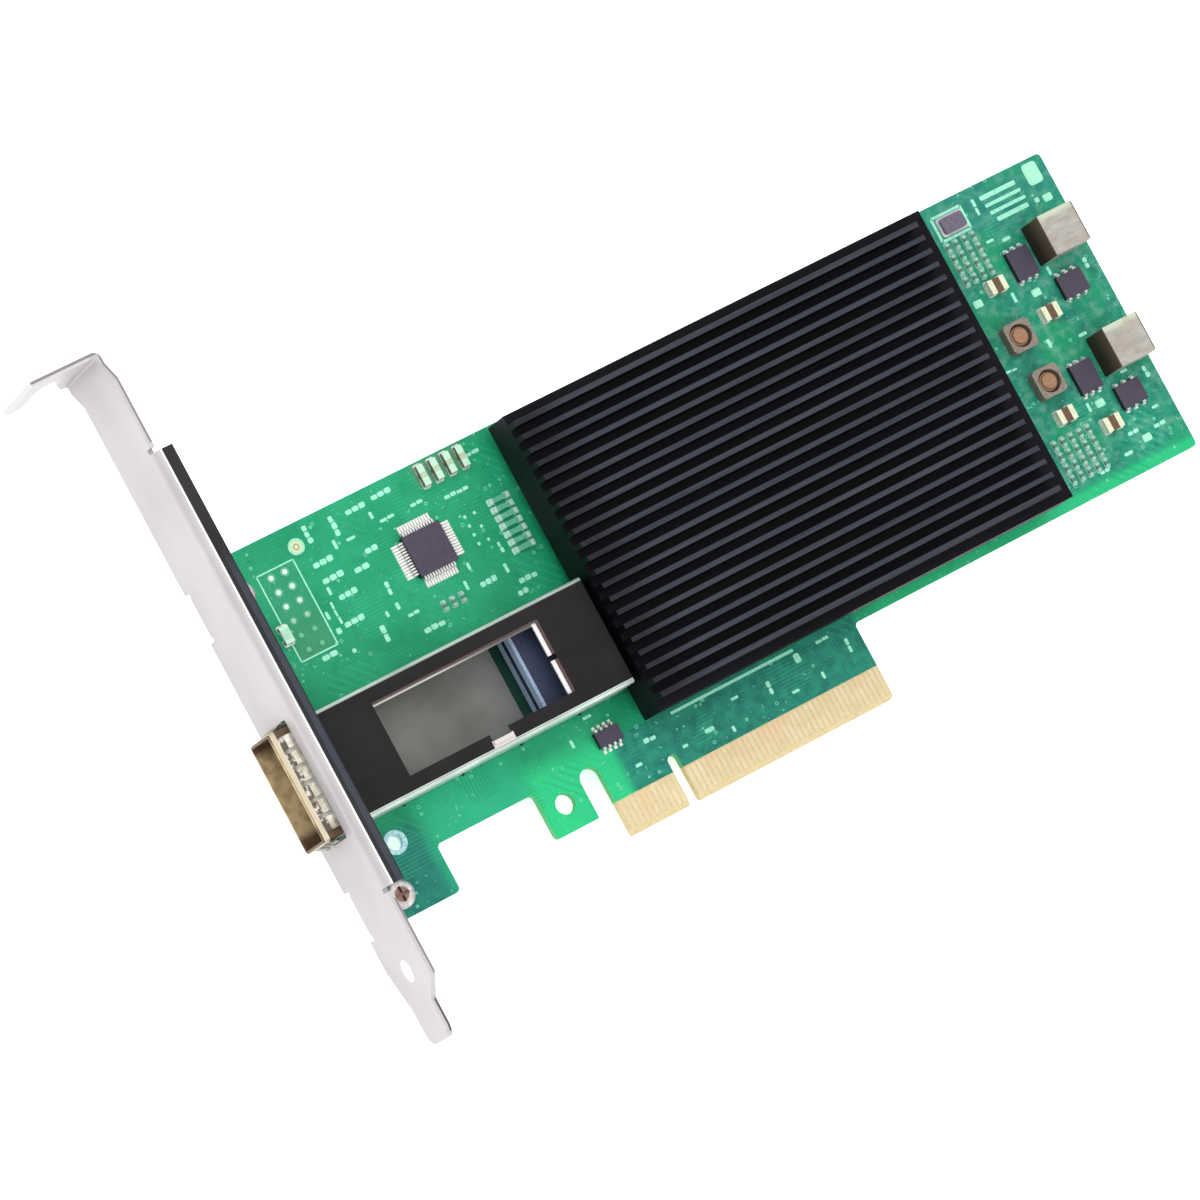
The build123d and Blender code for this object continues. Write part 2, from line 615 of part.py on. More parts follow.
def port_cage():
    shell = Box(CAGE_END - CAGE_START, CAGE_WIDTH, CAGE_HEIGHT)
    shell = fillet(shell.edges().filter_by(Axis.X), CAGE_ROUNDING)
    hollow = Box(CAGE_END - CAGE_START, CAGE_WIDTH - 2 * CAGE_SHEET, CAGE_HEIGHT - 2 * CAGE_SHEET)
    hollow = fillet(hollow.edges().filter_by(Axis.X), CAGE_ROUNDING - CAGE_SHEET)
    cage = Pos((CAGE_START + CAGE_END) / 2, CAGE_CENTRE_Y, CAGE_HEIGHT / 2) * (
        shell - Pos(-CAGE_SHEET, 0, 0) * hollow)
    top_low = CAGE_HEIGHT - CAGE_SHEET - OVERRUN
    window = block(WINDOW_START, WINDOW_END, WINDOW_LOW, WINDOW_HIGH, top_low, CAGE_HEIGHT + OVERRUN)
    latch = block(LATCH_START, LATCH_START + LATCH_LENGTH, WINDOW_LOW - LATCH_DEPTH, WINDOW_LOW,
                  top_low, CAGE_HEIGHT + OVERRUN)
    floor_gap = block(CAGE_FLOOR_END, CAGE_END - CAGE_SHEET, CAGE_LOW + CAGE_ROUNDING,
                      CAGE_HIGH - CAGE_ROUNDING, -OVERRUN, CAGE_SHEET + OVERRUN)
    cage = cage - [window, latch, floor_gap] - side_slots()
    lip_high = WINDOW_LOW - LATCH_DEPTH
    cage += block(LATCH_START, LATCH_START + LATCH_LENGTH, lip_high - LATCH_LIP, lip_high,
                  CAGE_HEIGHT - CAGE_SHEET, CAGE_HEIGHT + LATCH_LIP_HEIGHT)
    for ledge in window_ledges():
        cage += ledge
    half = CAGE_PIN_LENGTH / 2
    for x, y in cage_pin_places():
        y0, y1 = y - CAGE_SHEET / 2, y + CAGE_SHEET / 2
        cage += block(x - half, x + half, y0, y1, UNDERSIDE - CAGE_PIN_REACH, CAGE_ROUNDING)
    return cage


def finger_section():
    """Section of one spring finger, as distance along X and height over the cage."""
    band_start = CAGE_START + COLLAR_FROM_NOSE
    band_end = band_start + COLLAR_BAND
    upper = [(band_start, COLLAR_SHEET), (band_end, COLLAR_SHEET),
             (COLLAR_CREST_X, COLLAR_CREST_RISE), (COLLAR_TAIL_X, COLLAR_TAIL_RISE)]
    lower = [(x, z - COLLAR_SHEET) for x, z in reversed(upper)]
    return upper + lower


def finger_row(count, distance, turn):
    """A row of fingers on the side of the cage that faces a turn about X."""
    row = []
    for i in range(count):
        offset = (i - (count - 1) / 2) * FINGER_PITCH
        y0, y1 = offset - FINGER_WIDTH / 2, offset + FINGER_WIDTH / 2
        row.append(Rot(turn, 0, 0) * Pos(0, 0, distance) * prism_y(finger_section(), y0, y1))
    return row


def cage_spring_collar():
    band_start = CAGE_START + COLLAR_FROM_NOSE
    size_y, size_z = CAGE_WIDTH + 2 * COLLAR_SHEET, CAGE_HEIGHT + 2 * COLLAR_SHEET
    ring = fillet(Box(COLLAR_BAND, size_y, size_z).edges().filter_by(Axis.X), CAGE_ROUNDING + COLLAR_SHEET)
    bore = Box(COLLAR_BAND + 2 * OVERRUN, CAGE_WIDTH, CAGE_HEIGHT)
    collar = Pos(band_start + COLLAR_BAND / 2, 0, 0) * (
        ring - fillet(bore.edges().filter_by(Axis.X), CAGE_ROUNDING))
    for turn in WIDE_ROW_TURNS:
        for finger in finger_row(WIDE_FINGER_COUNT, CAGE_HEIGHT / 2, turn):
            collar += finger
    for turn in NARROW_ROW_TURNS:
        for finger in finger_row(NARROW_FINGER_COUNT, CAGE_WIDTH / 2, turn):
            collar += finger
    return Pos(0, CAGE_CENTRE_Y, CAGE_HEIGHT / 2) * collar


def port_contact_places():
    middle = (PORT_CONTACT_COUNT - 1) / 2
    return [CAGE_CENTRE_Y + (i - middle) * PORT_CONTACT_PITCH for i in range(PORT_CONTACT_COUNT)]


def upper_contact_section():
    """Beam along the roof of the mouth, down behind the housing, and back along the board."""
    sheet = PORT_CONTACT_SHEET
    roof = MOUTH_LOW + MOUTH_HEIGHT
    tip = CONNECTOR_START + PORT_CONTACT_TIP_INSET
    back = CONNECTOR_END
    end = back + UPPER_TAIL_REACH
    return [(tip, roof), (tip, roof - sheet), (back, roof - sheet), (back, 0), (end, 0), (end, sheet),
            (back + sheet, sheet), (back + sheet, roof)]


def lower_contact_section():
    """Beam along the floor of the mouth, down through the housing, and forward under it."""
    sheet = PORT_CONTACT_SHEET
    tip = CONNECTOR_START + PORT_CONTACT_TIP_INSET
    riser = CONNECTOR_START + MOUTH_DEPTH + sheet
    end = riser - LOWER_TAIL_REACH
    return [(tip, MOUTH_LOW), (riser - sheet, MOUTH_LOW), (riser - sheet, sheet), (end, sheet), (end, 0),
            (riser, 0), (riser, MOUTH_LOW + sheet), (tip, MOUTH_LOW + sheet)]


def port_contacts(section):
    half = PORT_CONTACT_WIDTH / 2
    return [prism_y(section, y - half, y + half) for y in port_contact_places()]


def port_connector():
    half = CONNECTOR_WIDTH / 2
    body = block(CONNECTOR_START, CONNECTOR_END, CAGE_CENTRE_Y - half, CAGE_CENTRE_Y + half,
                 CONNECTOR_STANDOFF, CONNECTOR_TOP)
    body = chamfer(body.faces().sort_by(Axis.Z)[-1].edges(), CONNECTOR_CHAMFER)
    mouth = block(CONNECTOR_START - OVERRUN, CONNECTOR_START + MOUTH_DEPTH,
                  CAGE_CENTRE_Y - MOUTH_WIDTH / 2, CAGE_CENTRE_Y + MOUTH_WIDTH / 2,
                  MOUTH_LOW, MOUTH_LOW + MOUTH_HEIGHT)
    body = body - mouth
    for x, y in peg_places():
        body += post(x, y, PEG_RADIUS, -PEG_REACH, CONNECTOR_STANDOFF)
    return body - port_contacts(upper_contact_section()) - port_contacts(lower_contact_section())


# Heat sink and the chip under it

def heat_sink():
    base_top = SINK_UNDERSIDE + SINK_BASE
    sink = block(SINK_START, SINK_END, SINK_LOW, SINK_HIGH, SINK_UNDERSIDE, base_top)
    for i in range(FIN_COUNT):
        y = SINK_CENTRE_Y + (i - (FIN_COUNT - 1) / 2) * FIN_PITCH
        half = FIN_THICKNESS / 2
        fin = block(SINK_START, SINK_END - FIN_END_LEDGE, y - half, y + half, base_top, SINK_TOP)
        fin = fillet(fin.faces().sort_by(Axis.Z)[-1].edges().filter_by(Axis.X), FIN_TIP_ROUNDING)
        sink += fin
    for x, y in boss_places():
        sink += post(x, y, BOSS_RADIUS, 0, SINK_UNDERSIDE)
    depth = SINK_SCREW_BITE + SINK_HOLE_SPARE
    return sink - [post(x, y, SINK_SCREW_RADIUS + PIN_CLEARANCE, -OVERRUN, depth)
                   for x, y in boss_places()]


def heat_sink_screw(x, y):
    low = UNDERSIDE - SINK_SCREW_HEAD_HEIGHT
    head = Cylinder(SINK_SCREW_HEAD_RADIUS, SINK_SCREW_HEAD_HEIGHT)
    head = fillet(head.edges().sort_by(Axis.Z)[0], HEAD_ROUNDING)
    head = Pos(x, y, low + SINK_SCREW_HEAD_HEIGHT / 2) * head
    recess = mirror(cross_recess(x, y, -low, DRIVE_SPAN), about=Plane.XY)
    return head + post(x, y, SINK_SCREW_RADIUS, UNDERSIDE, SINK_SCREW_BITE) - recess


def centred_plate(side, z0, z1):
    half = side / 2
    return block(SINK_CENTRE_X - half, SINK_CENTRE_X + half, SINK_CENTRE_Y - half, SINK_CENTRE_Y + half,
                 z0, z1)


def solder_balls():
    shape = RegularPolygon(BALL_RADIUS, BALL_FACET_COUNT)
    middle = (BALL_ROW_COUNT - 1) / 2
    balls = []
    for i in range(BALL_ROW_COUNT):
        for j in range(BALL_ROW_COUNT):
            x = SINK_CENTRE_X + (i - middle) * BALL_PITCH
            y = SINK_CENTRE_Y + (j - middle) * BALL_PITCH
            balls.append(extrude(Pos(x, y, 0) * shape, BALL_HEIGHT, dir=(0, 0, 1)))
    return group(balls)


# Chips with leads

def gull_lead(width, reach, rise):
    """A gull-wing lead: root at the origin, running out along X, standing on Z zero."""
    sheet = LEAD_SHEET
    shoulder = reach / 3
    heel = shoulder + sheet
    outline = [(0, rise), (0, rise + sheet), (heel, rise + sheet), (heel + sheet, sheet), (reach, sheet),
               (reach, 0), (heel, 0), (shoulder, rise)]
    return prism_y(outline, -width / 2, width / 2)


def leaded_row(centre, body_half, count, pitch, lead, turn):
    """Leads along the side of a body that faces a turn about Z."""
    row = []
    for i in range(count):
        offset = (i - (count - 1) / 2) * pitch
        row.append(Pos(centre[0], centre[1], 0) * Rot(0, 0, turn) * Pos(body_half, offset, 0) * lead)
    return row


def chip_body(centre, length, width, thickness):
    x, y = centre
    return block(x - length / 2, x + length / 2, y - width / 2, y + width / 2,
                 BODY_STANDOFF, BODY_STANDOFF + thickness)


def microcontroller_leads():
    lead = gull_lead(MCU_LEAD_WIDTH, MCU_LEAD_REACH, MCU_THICKNESS / 2)
    centre = port_field(MCU_PORT_SHARE)
    leads = []
    for turn in FOUR_SIDE_TURNS:
        leads += leaded_row(centre, MCU_SIDE / 2, MCU_LEAD_COUNT, MCU_LEAD_PITCH, lead, turn)
    return leads


def two_sided_leads(centre, half, count, pitch, lead):
    return [piece for turn in TWO_SIDE_TURNS
            for piece in leaded_row(centre, half, count, pitch, lead, turn)]


def regulator_place():
    return (TONGUE_START + REGULATOR_PAST_TONGUE, CAGE_LOW - REGULATOR_BELOW_CAGE)


def regulator_leads():
    lead = gull_lead(REGULATOR_LEAD_WIDTH, REGULATOR_LEAD_REACH, REGULATOR_THICKNESS / 2)
    return two_sided_leads(regulator_place(), REGULATOR_WIDTH / 2, REGULATOR_LEAD_COUNT,
                           REGULATOR_LEAD_PITCH, lead)


def switch_places():
    """Centre and plan size of each power switch."""
    tall = [(power_field(share), TALL_SWITCH) for share in TALL_SWITCH_SHARES]
    square = [(power_field(share), SQUARE_SWITCH) for share in SQUARE_SWITCH_SHARES]
    return tall + square


def power_switches():
    return [chip_body(centre, size[0], size[1], SWITCH_THICKNESS) for centre, size in switch_places()]


def power_switch_leads():
    lead = gull_lead(SWITCH_LEAD_WIDTH, SWITCH_LEAD_REACH, SWITCH_THICKNESS / 2)
    leads = []
    for centre, size in switch_places():
        pitch = size[0] / SWITCH_LEAD_COUNT
        leads += two_sided_leads(centre, size[1] / 2, SWITCH_LEAD_COUNT, pitch, lead)
    return leads


def flipped(pieces):
    """The same pieces on the solder side of the board."""
    plane = Plane.XY.offset(UNDERSIDE / 2)
    return [mirror(piece, about=plane) for piece in pieces]


def memory_chip():
    return flipped([chip_body(port_field(MEMORY_PORT_SHARE), MEMORY_LENGTH, MEMORY_WIDTH,
                              MEMORY_THICKNESS)])


def memory_chip_leads():
    lead = gull_lead(MEMORY_LEAD_WIDTH, MEMORY_LEAD_REACH, MEMORY_THICKNESS / 2)
    return flipped(two_sided_leads(port_field(MEMORY_PORT_SHARE), MEMORY_WIDTH / 2,
                                   MEMORY_LEAD_COUNT, MEMORY_LEAD_PITCH, lead))


# Coils

def power_inductor_core(centre):
    x, y = centre
    half_x, half_y = POWER_INDUCTOR_SIDE / 2, POWER_INDUCTOR_WIDTH / 2
    core = block(x - half_x, x + half_x, y - half_y, y + half_y, 0, POWER_INDUCTOR_HEIGHT)
    core = fillet(core.edges().filter_by(Axis.Z), POWER_INDUCTOR_ROUNDING)
    return core - power_inductor_strap(centre)


def power_inductor_strap(centre):
    """A flat strap over the top of the core, down both sides and turned under it."""
    x, y = centre
    half_x, half_y = STRAP_WIDTH / 2, POWER_INDUCTOR_WIDTH / 2
    ends = (x - half_x, x + half_x)
    high = POWER_INDUCTOR_HEIGHT
    strap = block(*ends, y - half_y, y + half_y, high - STRAP_SHEET, high)
    for side in (-1, 1):
        near, deep = y + side * half_y, y + side * (half_y - STRAP_SHEET)
        foot = y + side * (half_y - STRAP_FOOT)
        strap += block(*ends, min(near, deep), max(near, deep), 0, high)
        strap += block(*ends, min(near, foot), max(near, foot), 0, STRAP_SHEET)
    return strap


def filter_inductor_shield(centre):
    x, y = centre
    half_x, half_y = FILTER_INDUCTOR_LENGTH / 2, FILTER_INDUCTOR_WIDTH / 2
    shield = block(x - half_x, x + half_x, y - half_y, y + half_y, 0, FILTER_INDUCTOR_HEIGHT)
    shield = fillet(shield.edges().filter_by(Axis.Z), FILTER_INDUCTOR_CORNER)
    return shield - post(x, y, FILTER_INDUCTOR_BORE, FILTER_INDUCTOR_FLOOR, FILTER_INDUCTOR_HEIGHT + OVERRUN)


def filter_inductor_drum(centre):
    x, y = centre
    head_low = FILTER_INDUCTOR_FLOOR + WINDING_HEIGHT
    drum = post(x, y, DRUM_RADIUS, FILTER_INDUCTOR_FLOOR, head_low)
    return drum + post(x, y, DRUM_HEAD_RADIUS, head_low, head_low + DRUM_HEAD_THICKNESS)


def filter_inductor_winding(centre):
    x, y = centre
    winding = Cylinder(WINDING_RADIUS, WINDING_HEIGHT)
    winding = fillet(winding.edges().filter_by(GeomType.CIRCLE), WINDING_ROUNDING)
    winding = Pos(x, y, FILTER_INDUCTOR_FLOOR + WINDING_HEIGHT / 2) * winding
    high = FILTER_INDUCTOR_FLOOR + WINDING_HEIGHT
    return winding - post(x, y, DRUM_RADIUS, -OVERRUN, high + OVERRUN)


def each(make, shares):
    return [make(power_field(share)) for share in shares]


# Chip parts, each given as length, width, height and length of one metal end

def upright_chip(centre, size):
    """A two-ended chip part whose ends lie at its low and high Y: the body and both ends."""
    width, length, height, end = size
    x, y = centre
    half_x, half_y = width / 2, length / 2
    middle = block(x - half_x, x + half_x, y - half_y + end, y + half_y - end, 0, height)
    low = block(x - half_x, x + half_x, y - half_y, y - half_y + end, 0, height)
    high = block(x - half_x, x + half_x, y + half_y - end, y + half_y, 0, height)
    return [middle], [low, high]


def level_chip(centre, size):
    """A two-ended chip part whose ends lie at its low and high X: the body and both ends."""
    length, width, height, end = size
    x, y = centre
    half_x, half_y = length / 2, width / 2
    middle = block(x - half_x + end, x + half_x - end, y - half_y, y + half_y, 0, height)
    low = block(x - half_x, x - half_x + end, y - half_y, y + half_y, 0, height)
    high = block(x + half_x - end, x + half_x, y - half_y, y + half_y, 0, height)
    return [middle], [low, high]


def chip_set(make, places, size):
    """The bodies and the ends of chip parts at a list of places."""
    bodies, ends = [], []
    for place in places:
        body, pair = make(place, size)
        bodies += body
        ends += pair
    return bodies, ends


def row_capacitor_places():
    first = port_field(ROW_CAPACITOR_PORT_SHARE)
    return [(first[0] + i * ROW_CAPACITOR_PITCH, first[1]) for i in range(ROW_CAPACITOR_COUNT)]


def bypass_places():
    """The small capacitors stand in a few regular blocks, each given by its upper left one."""
    firsts = [power_field(share) for share in BYPASS_POWER_SHARES]
    firsts += [port_field(share) for share in BYPASS_PORT_SHARES]
    places = []
    for first, (columns, rows) in zip(firsts, BYPASS_POWER_COUNTS + BYPASS_PORT_COUNTS):
        places += [(first[0] + i * BYPASS_PITCH_X, first[1] - j * BYPASS_PITCH_Y)
                   for i in range(columns) for j in range(rows)]
    return places


def resistor_places():
    first = port_field(STACK_RESISTOR_PORT_SHARE)
    return [(first[0], first[1] + i * STACK_RESISTOR_PITCH) for i in range(STACK_RESISTOR_COUNT)]


def back_capacitor_places():
    middle = (BACK_CAPACITOR_ROW_COUNT - 1) / 2
    return [(SINK_CENTRE_X + (i - middle) * BACK_CAPACITOR_PITCH,
             SINK_CENTRE_Y + (j - middle) * BACK_CAPACITOR_PITCH)
            for i in range(BACK_CAPACITOR_ROW_COUNT) for j in range(BACK_CAPACITOR_ROW_COUNT)]


def crystal_layer(inset, z0, z1):
    x, y = power_field(CRYSTAL_POWER_SHARE)
    half_x, half_y = CRYSTAL_LENGTH / 2 - inset, CRYSTAL_WIDTH / 2 - inset
    layer = block(x - half_x, x + half_x, y - half_y, y + half_y, z0, z1)
    return fillet(layer.edges().filter_by(Axis.Z), CRYSTAL_CORNER)


def all_nodes():
    """Every node's name and shape."""
    lid_low = BALL_HEIGHT + SUBSTRATE_THICKNESS
    lid_high = lid_low + LID_THICKNESS
    can_high = CRYSTAL_BASE_HEIGHT + CRYSTAL_CAN_HEIGHT
    row_bodies, row_ends = chip_set(upright_chip, row_capacitor_places(), ROW_CAPACITOR)
    supply = [power_field(share) for share in SUPPLY_CAPACITOR_SHARES]
    supply_bodies, supply_ends = chip_set(level_chip, supply, SUPPLY_CAPACITOR)
    bypass_bodies, bypass_ends = chip_set(upright_chip, bypass_places(), BYPASS_CAPACITOR)
    resistor_bodies, resistor_ends = chip_set(level_chip, resistor_places(), STACK_RESISTOR)
    lamp_body, lamp_ends = upright_chip(port_field(LAMP_PORT_SHARE), LAMP)
    back_bodies, back_ends = chip_set(level_chip, back_capacitor_places(), BACK_CAPACITOR)
    return {
        "circuit_board": circuit_board(),
        "edge_contacts_front": edge_contacts(0, CONTACT_THICKNESS),
        "edge_contacts_back": edge_contacts(UNDERSIDE - CONTACT_THICKNESS, UNDERSIDE),
        "plated_rings": group([plated_ring(*ring) for ring in ring_places()]),
        "bracket": bracket(),
        "bracket_screws": group([bracket_screw(x, y) for x, y in ear_places()]),
        "port_cage": port_cage(),
        "cage_spring_collar": cage_spring_collar(),
        "port_connector": port_connector(),
        "upper_port_contacts": group(port_contacts(upper_contact_section())),
        "lower_port_contacts": group(port_contacts(lower_contact_section())),
        "heat_sink": heat_sink(),
        "heat_sink_screws": group([heat_sink_screw(x, y) for x, y in boss_places()]),
        "thermal_pad": centred_plate(LID_SIDE, lid_high, SINK_UNDERSIDE),
        "controller_lid": centred_plate(LID_SIDE, lid_low, lid_high),
        "controller_substrate": centred_plate(SUBSTRATE_SIDE, BALL_HEIGHT, lid_low),
        "controller_solder_balls": solder_balls(),
        "microcontroller": chip_body(port_field(MCU_PORT_SHARE), MCU_SIDE, MCU_SIDE, MCU_THICKNESS),
        "microcontroller_leads": group(microcontroller_leads()),
        "regulator": chip_body(regulator_place(), REGULATOR_LENGTH, REGULATOR_WIDTH, REGULATOR_THICKNESS),
        "regulator_leads": group(regulator_leads()),
        "memory_chip": group(memory_chip()),
        "memory_chip_leads": group(memory_chip_leads()),
        "power_switches": group(power_switches()),
        "power_switch_leads": group(power_switch_leads()),
        "power_inductor_cores": group(each(power_inductor_core, POWER_INDUCTOR_SHARES)),
        "power_inductor_straps": group(each(power_inductor_strap, POWER_INDUCTOR_SHARES)),
        "filter_inductor_shields": group(each(filter_inductor_shield, FILTER_INDUCTOR_SHARES)),
        "filter_inductor_windings": group(each(filter_inductor_winding, FILTER_INDUCTOR_SHARES)),
        "filter_inductor_drums": group(each(filter_inductor_drum, FILTER_INDUCTOR_SHARES)),
        "row_capacitor_bodies": group(row_bodies),
        "row_capacitor_ends": group(row_ends),
        "supply_capacitor_bodies": group(supply_bodies),
        "supply_capacitor_ends": group(supply_ends),
        "bypass_capacitor_bodies": group(bypass_bodies),
        "bypass_capacitor_ends": group(bypass_ends),
        "resistor_bodies": group(resistor_bodies),
        "resistor_ends": group(resistor_ends),
        "back_capacitor_bodies": group(flipped(back_bodies)),
        "back_capacitor_ends": group(flipped(back_ends)),
        "status_lamp": group(lamp_body),
        "status_lamp_ends": group(lamp_ends),
        "clock_crystal_base": crystal_layer(0, 0, CRYSTAL_BASE_HEIGHT),
        "clock_crystal_can": crystal_layer(CRYSTAL_CAN_INSET, CRYSTAL_BASE_HEIGHT, can_high),
    }


os.makedirs("parts", exist_ok=True)
for name, shape in all_nodes().items():
    export_step(shape, "parts/" + name + ".step")
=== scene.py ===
"""Network interface card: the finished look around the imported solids. Lengths are in metres."""

import math

import bpy
from mathutils import Matrix, Vector


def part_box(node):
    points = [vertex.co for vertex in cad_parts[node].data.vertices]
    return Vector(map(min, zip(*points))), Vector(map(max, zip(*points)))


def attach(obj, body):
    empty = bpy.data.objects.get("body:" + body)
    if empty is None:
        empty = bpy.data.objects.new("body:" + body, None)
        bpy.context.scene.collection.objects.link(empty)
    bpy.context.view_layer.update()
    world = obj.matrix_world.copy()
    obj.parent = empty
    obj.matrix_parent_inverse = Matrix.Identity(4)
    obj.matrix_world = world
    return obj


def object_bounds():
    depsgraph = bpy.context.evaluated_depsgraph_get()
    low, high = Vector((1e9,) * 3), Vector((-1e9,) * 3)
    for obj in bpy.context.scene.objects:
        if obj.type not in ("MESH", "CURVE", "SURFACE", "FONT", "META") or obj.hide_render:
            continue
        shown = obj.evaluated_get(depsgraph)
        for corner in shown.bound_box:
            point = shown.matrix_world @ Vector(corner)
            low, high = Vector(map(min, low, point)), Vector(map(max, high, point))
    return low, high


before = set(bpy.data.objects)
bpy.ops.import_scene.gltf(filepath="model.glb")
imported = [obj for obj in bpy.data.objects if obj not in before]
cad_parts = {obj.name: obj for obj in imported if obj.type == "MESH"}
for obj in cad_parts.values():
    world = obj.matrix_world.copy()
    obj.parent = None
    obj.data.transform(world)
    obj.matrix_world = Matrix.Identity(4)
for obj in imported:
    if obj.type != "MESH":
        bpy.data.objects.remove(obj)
solid_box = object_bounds()

MM = 0.001
FRONT_FACE = 0.0
BACK_FACE = -1.57 * MM


# Shader maths

class Value:
    """A number or vector that varies over a surface: one output of a finish's nodes."""

    def __init__(self, finish, socket):
        self.finish = finish
        self.socket = socket

    def combine(self, operation, first, second):
        return self.finish.node("ShaderNodeMath", {"operation": operation}, {0: first, 1: second})

    def __add__(self, other):
        return self.combine("ADD", self, other)

    def __radd__(self, other):
        return self.combine("ADD", other, self)

    def __sub__(self, other):
        return self.combine("SUBTRACT", self, other)

    def __rsub__(self, other):
        return self.combine("SUBTRACT", other, self)

    def __mul__(self, other):
        return self.combine("MULTIPLY", self, other)

    def __rmul__(self, other):
        return self.combine("MULTIPLY", other, self)

    def __gt__(self, other):
        return self.combine("GREATER_THAN", self, other)

    def __lt__(self, other):
        return self.combine("LESS_THAN", self, other)

    def __or__(self, other):
        return self.combine("MAXIMUM", self, other)

    def __ror__(self, other):
        return self.combine("MAXIMUM", other, self)


class Finish:
    """A material while it is made: its nodes, and the places on the piece that they read."""

    NOISE_ROUGHNESS = 0.55
    SPECULAR = 0.22

    def __init__(self, name):
        self.material = bpy.data.materials.new(name)
        self.material.use_nodes = True
        self.tree = self.material.node_tree
        self.tree.nodes.clear()
        place = self.node("ShaderNodeTexCoord", output="Object")
        self.mm = self.node("ShaderNodeVectorMath", {"operation": "SCALE"},
                            {0: place, "Scale": 1 / MM})
        self.x, self.y, self.z = self.split(self.mm)
        normal = self.node("ShaderNodeNewGeometry", output="Normal")
        self.facing_x, _, self.facing_z = self.split(normal)

    def node(self, kind, settings=None, inputs=None, output=0):
        """Adds a node, sets it, fills or links its sockets, and gives one of its outputs."""
        made = self.tree.nodes.new(kind)
        for key, value in (settings or {}).items():
            setattr(made, key, value)
        for key, value in (inputs or {}).items():
            if isinstance(value, Value):
                self.tree.links.new(value.socket, made.inputs[key])
            else:
                made.inputs[key].default_value = value
        if output is None:
            return made
        return Value(self, made.outputs[output])

    def split(self, vector):
        """The three numbers of a vector."""
        parts = self.node("ShaderNodeSeparateXYZ", inputs={0: vector}, output=None)
        return [Value(self, socket) for socket in parts.outputs]

    def mix(self, factor, first, second):
        """A colour between two colours."""
        return self.node("ShaderNodeMix", {"data_type": "RGBA"},
                         {0: factor, 6: first, 7: second}, 2)

    def ramp(self, factor, low, high):
        """Goes from 0 to 1 as the factor goes from low to high, which may be the lower number."""
        return self.node("ShaderNodeMapRange", {"clamp": True},
                         {0: factor, 1: low, 2: high, 3: 0.0, 4: 1.0})

    def within(self, value, low, high):
        return (value > low) * (value < high)

    def zone(self, limits):
        """1 in a zone and 0 outside it. For each axis that limits the zone, a start and an end:
        None for no limit, a number for a hard edge, and a pair for one that fades in or out."""
        parts = []
        for axis, (start, end) in limits.items():
            value = getattr(self, axis)
            if isinstance(start, tuple):
                parts.append(self.ramp(value, start[0], start[1]))
            elif start is not None:
                parts.append(value > start)
            if isinstance(end, tuple):
                parts.append(self.ramp(value, end[1], end[0]))
            elif end is not None:
                parts.append(value < end)
        return math.prod(parts)

    def disc(self, centre, square_radius, fade):
        """1 in a circle round an X and a Y, fading out over the last part of its square radius."""
        off_x = self.x - centre[0]
        off_y = self.y - centre[1]
        return self.ramp(square_radius - off_x * off_x - off_y * off_y, 0.0, fade)

    def noise(self, scale, detail=3.0, stretch=None):
        place = self.mm
        if stretch:
            place = self.node("ShaderNodeVectorMath", {"operation": "MULTIPLY"},
                              {0: self.mm, 1: stretch})
        return self.node("ShaderNodeTexNoise", inputs={
            "Vector": place, "Scale": scale, "Detail": detail, "Roughness": self.NOISE_ROUGHNESS})

    def cells(self, scale, metric="EUCLIDEAN", output="Distance"):
        return self.node("ShaderNodeTexVoronoi", {"distance": metric},
                         {"Vector": self.mm, "Scale": scale}, output)

    def bands(self, direction, scale, distortion=0.0):
        return self.node("ShaderNodeTexWave", {"bands_direction": direction}, {
            "Vector": self.mm, "Scale": scale, "Distortion": distortion, "Detail": 1.0})

    def bump(self, height, distance_mm, strength=0.6):
        return self.node("ShaderNodeBump", inputs={
            "Strength": strength, "Distance": distance_mm * MM, "Height": height})

    def done(self, colour, roughness, metallic=0.0, normal=None, fixed=None):
        """Closes the finish with its surface shader and gives the material."""
        inputs = {"Base Color": colour, "Roughness": roughness, "Metallic": metallic,
                  "Specular IOR Level": self.SPECULAR}
        if normal is not None:
            inputs["Normal"] = normal
        inputs.update(fixed or {})
        surface = self.node("ShaderNodeBsdfPrincipled", inputs=inputs)
        self.node("ShaderNodeOutputMaterial", inputs={"Surface": surface}, output=None)
        return self.material


def tone(red, green, blue):
    """A colour as the eye sees it, 0 to 255 a channel, as the renderer's own values."""
    linear = [((c / 255 + 0.055) / 1.055) ** 2.4 if c > 10 else c / 255 / 12.92
              for c in (red, green, blue)]
    return (*linear, 1.0)


# Zones: the parts of a surface that have a tone of their own. Limits on x, y and z are places in
# millimetres, and those on facing_x and facing_z are on the surface's normal. Finish.zone says how
# they are read.

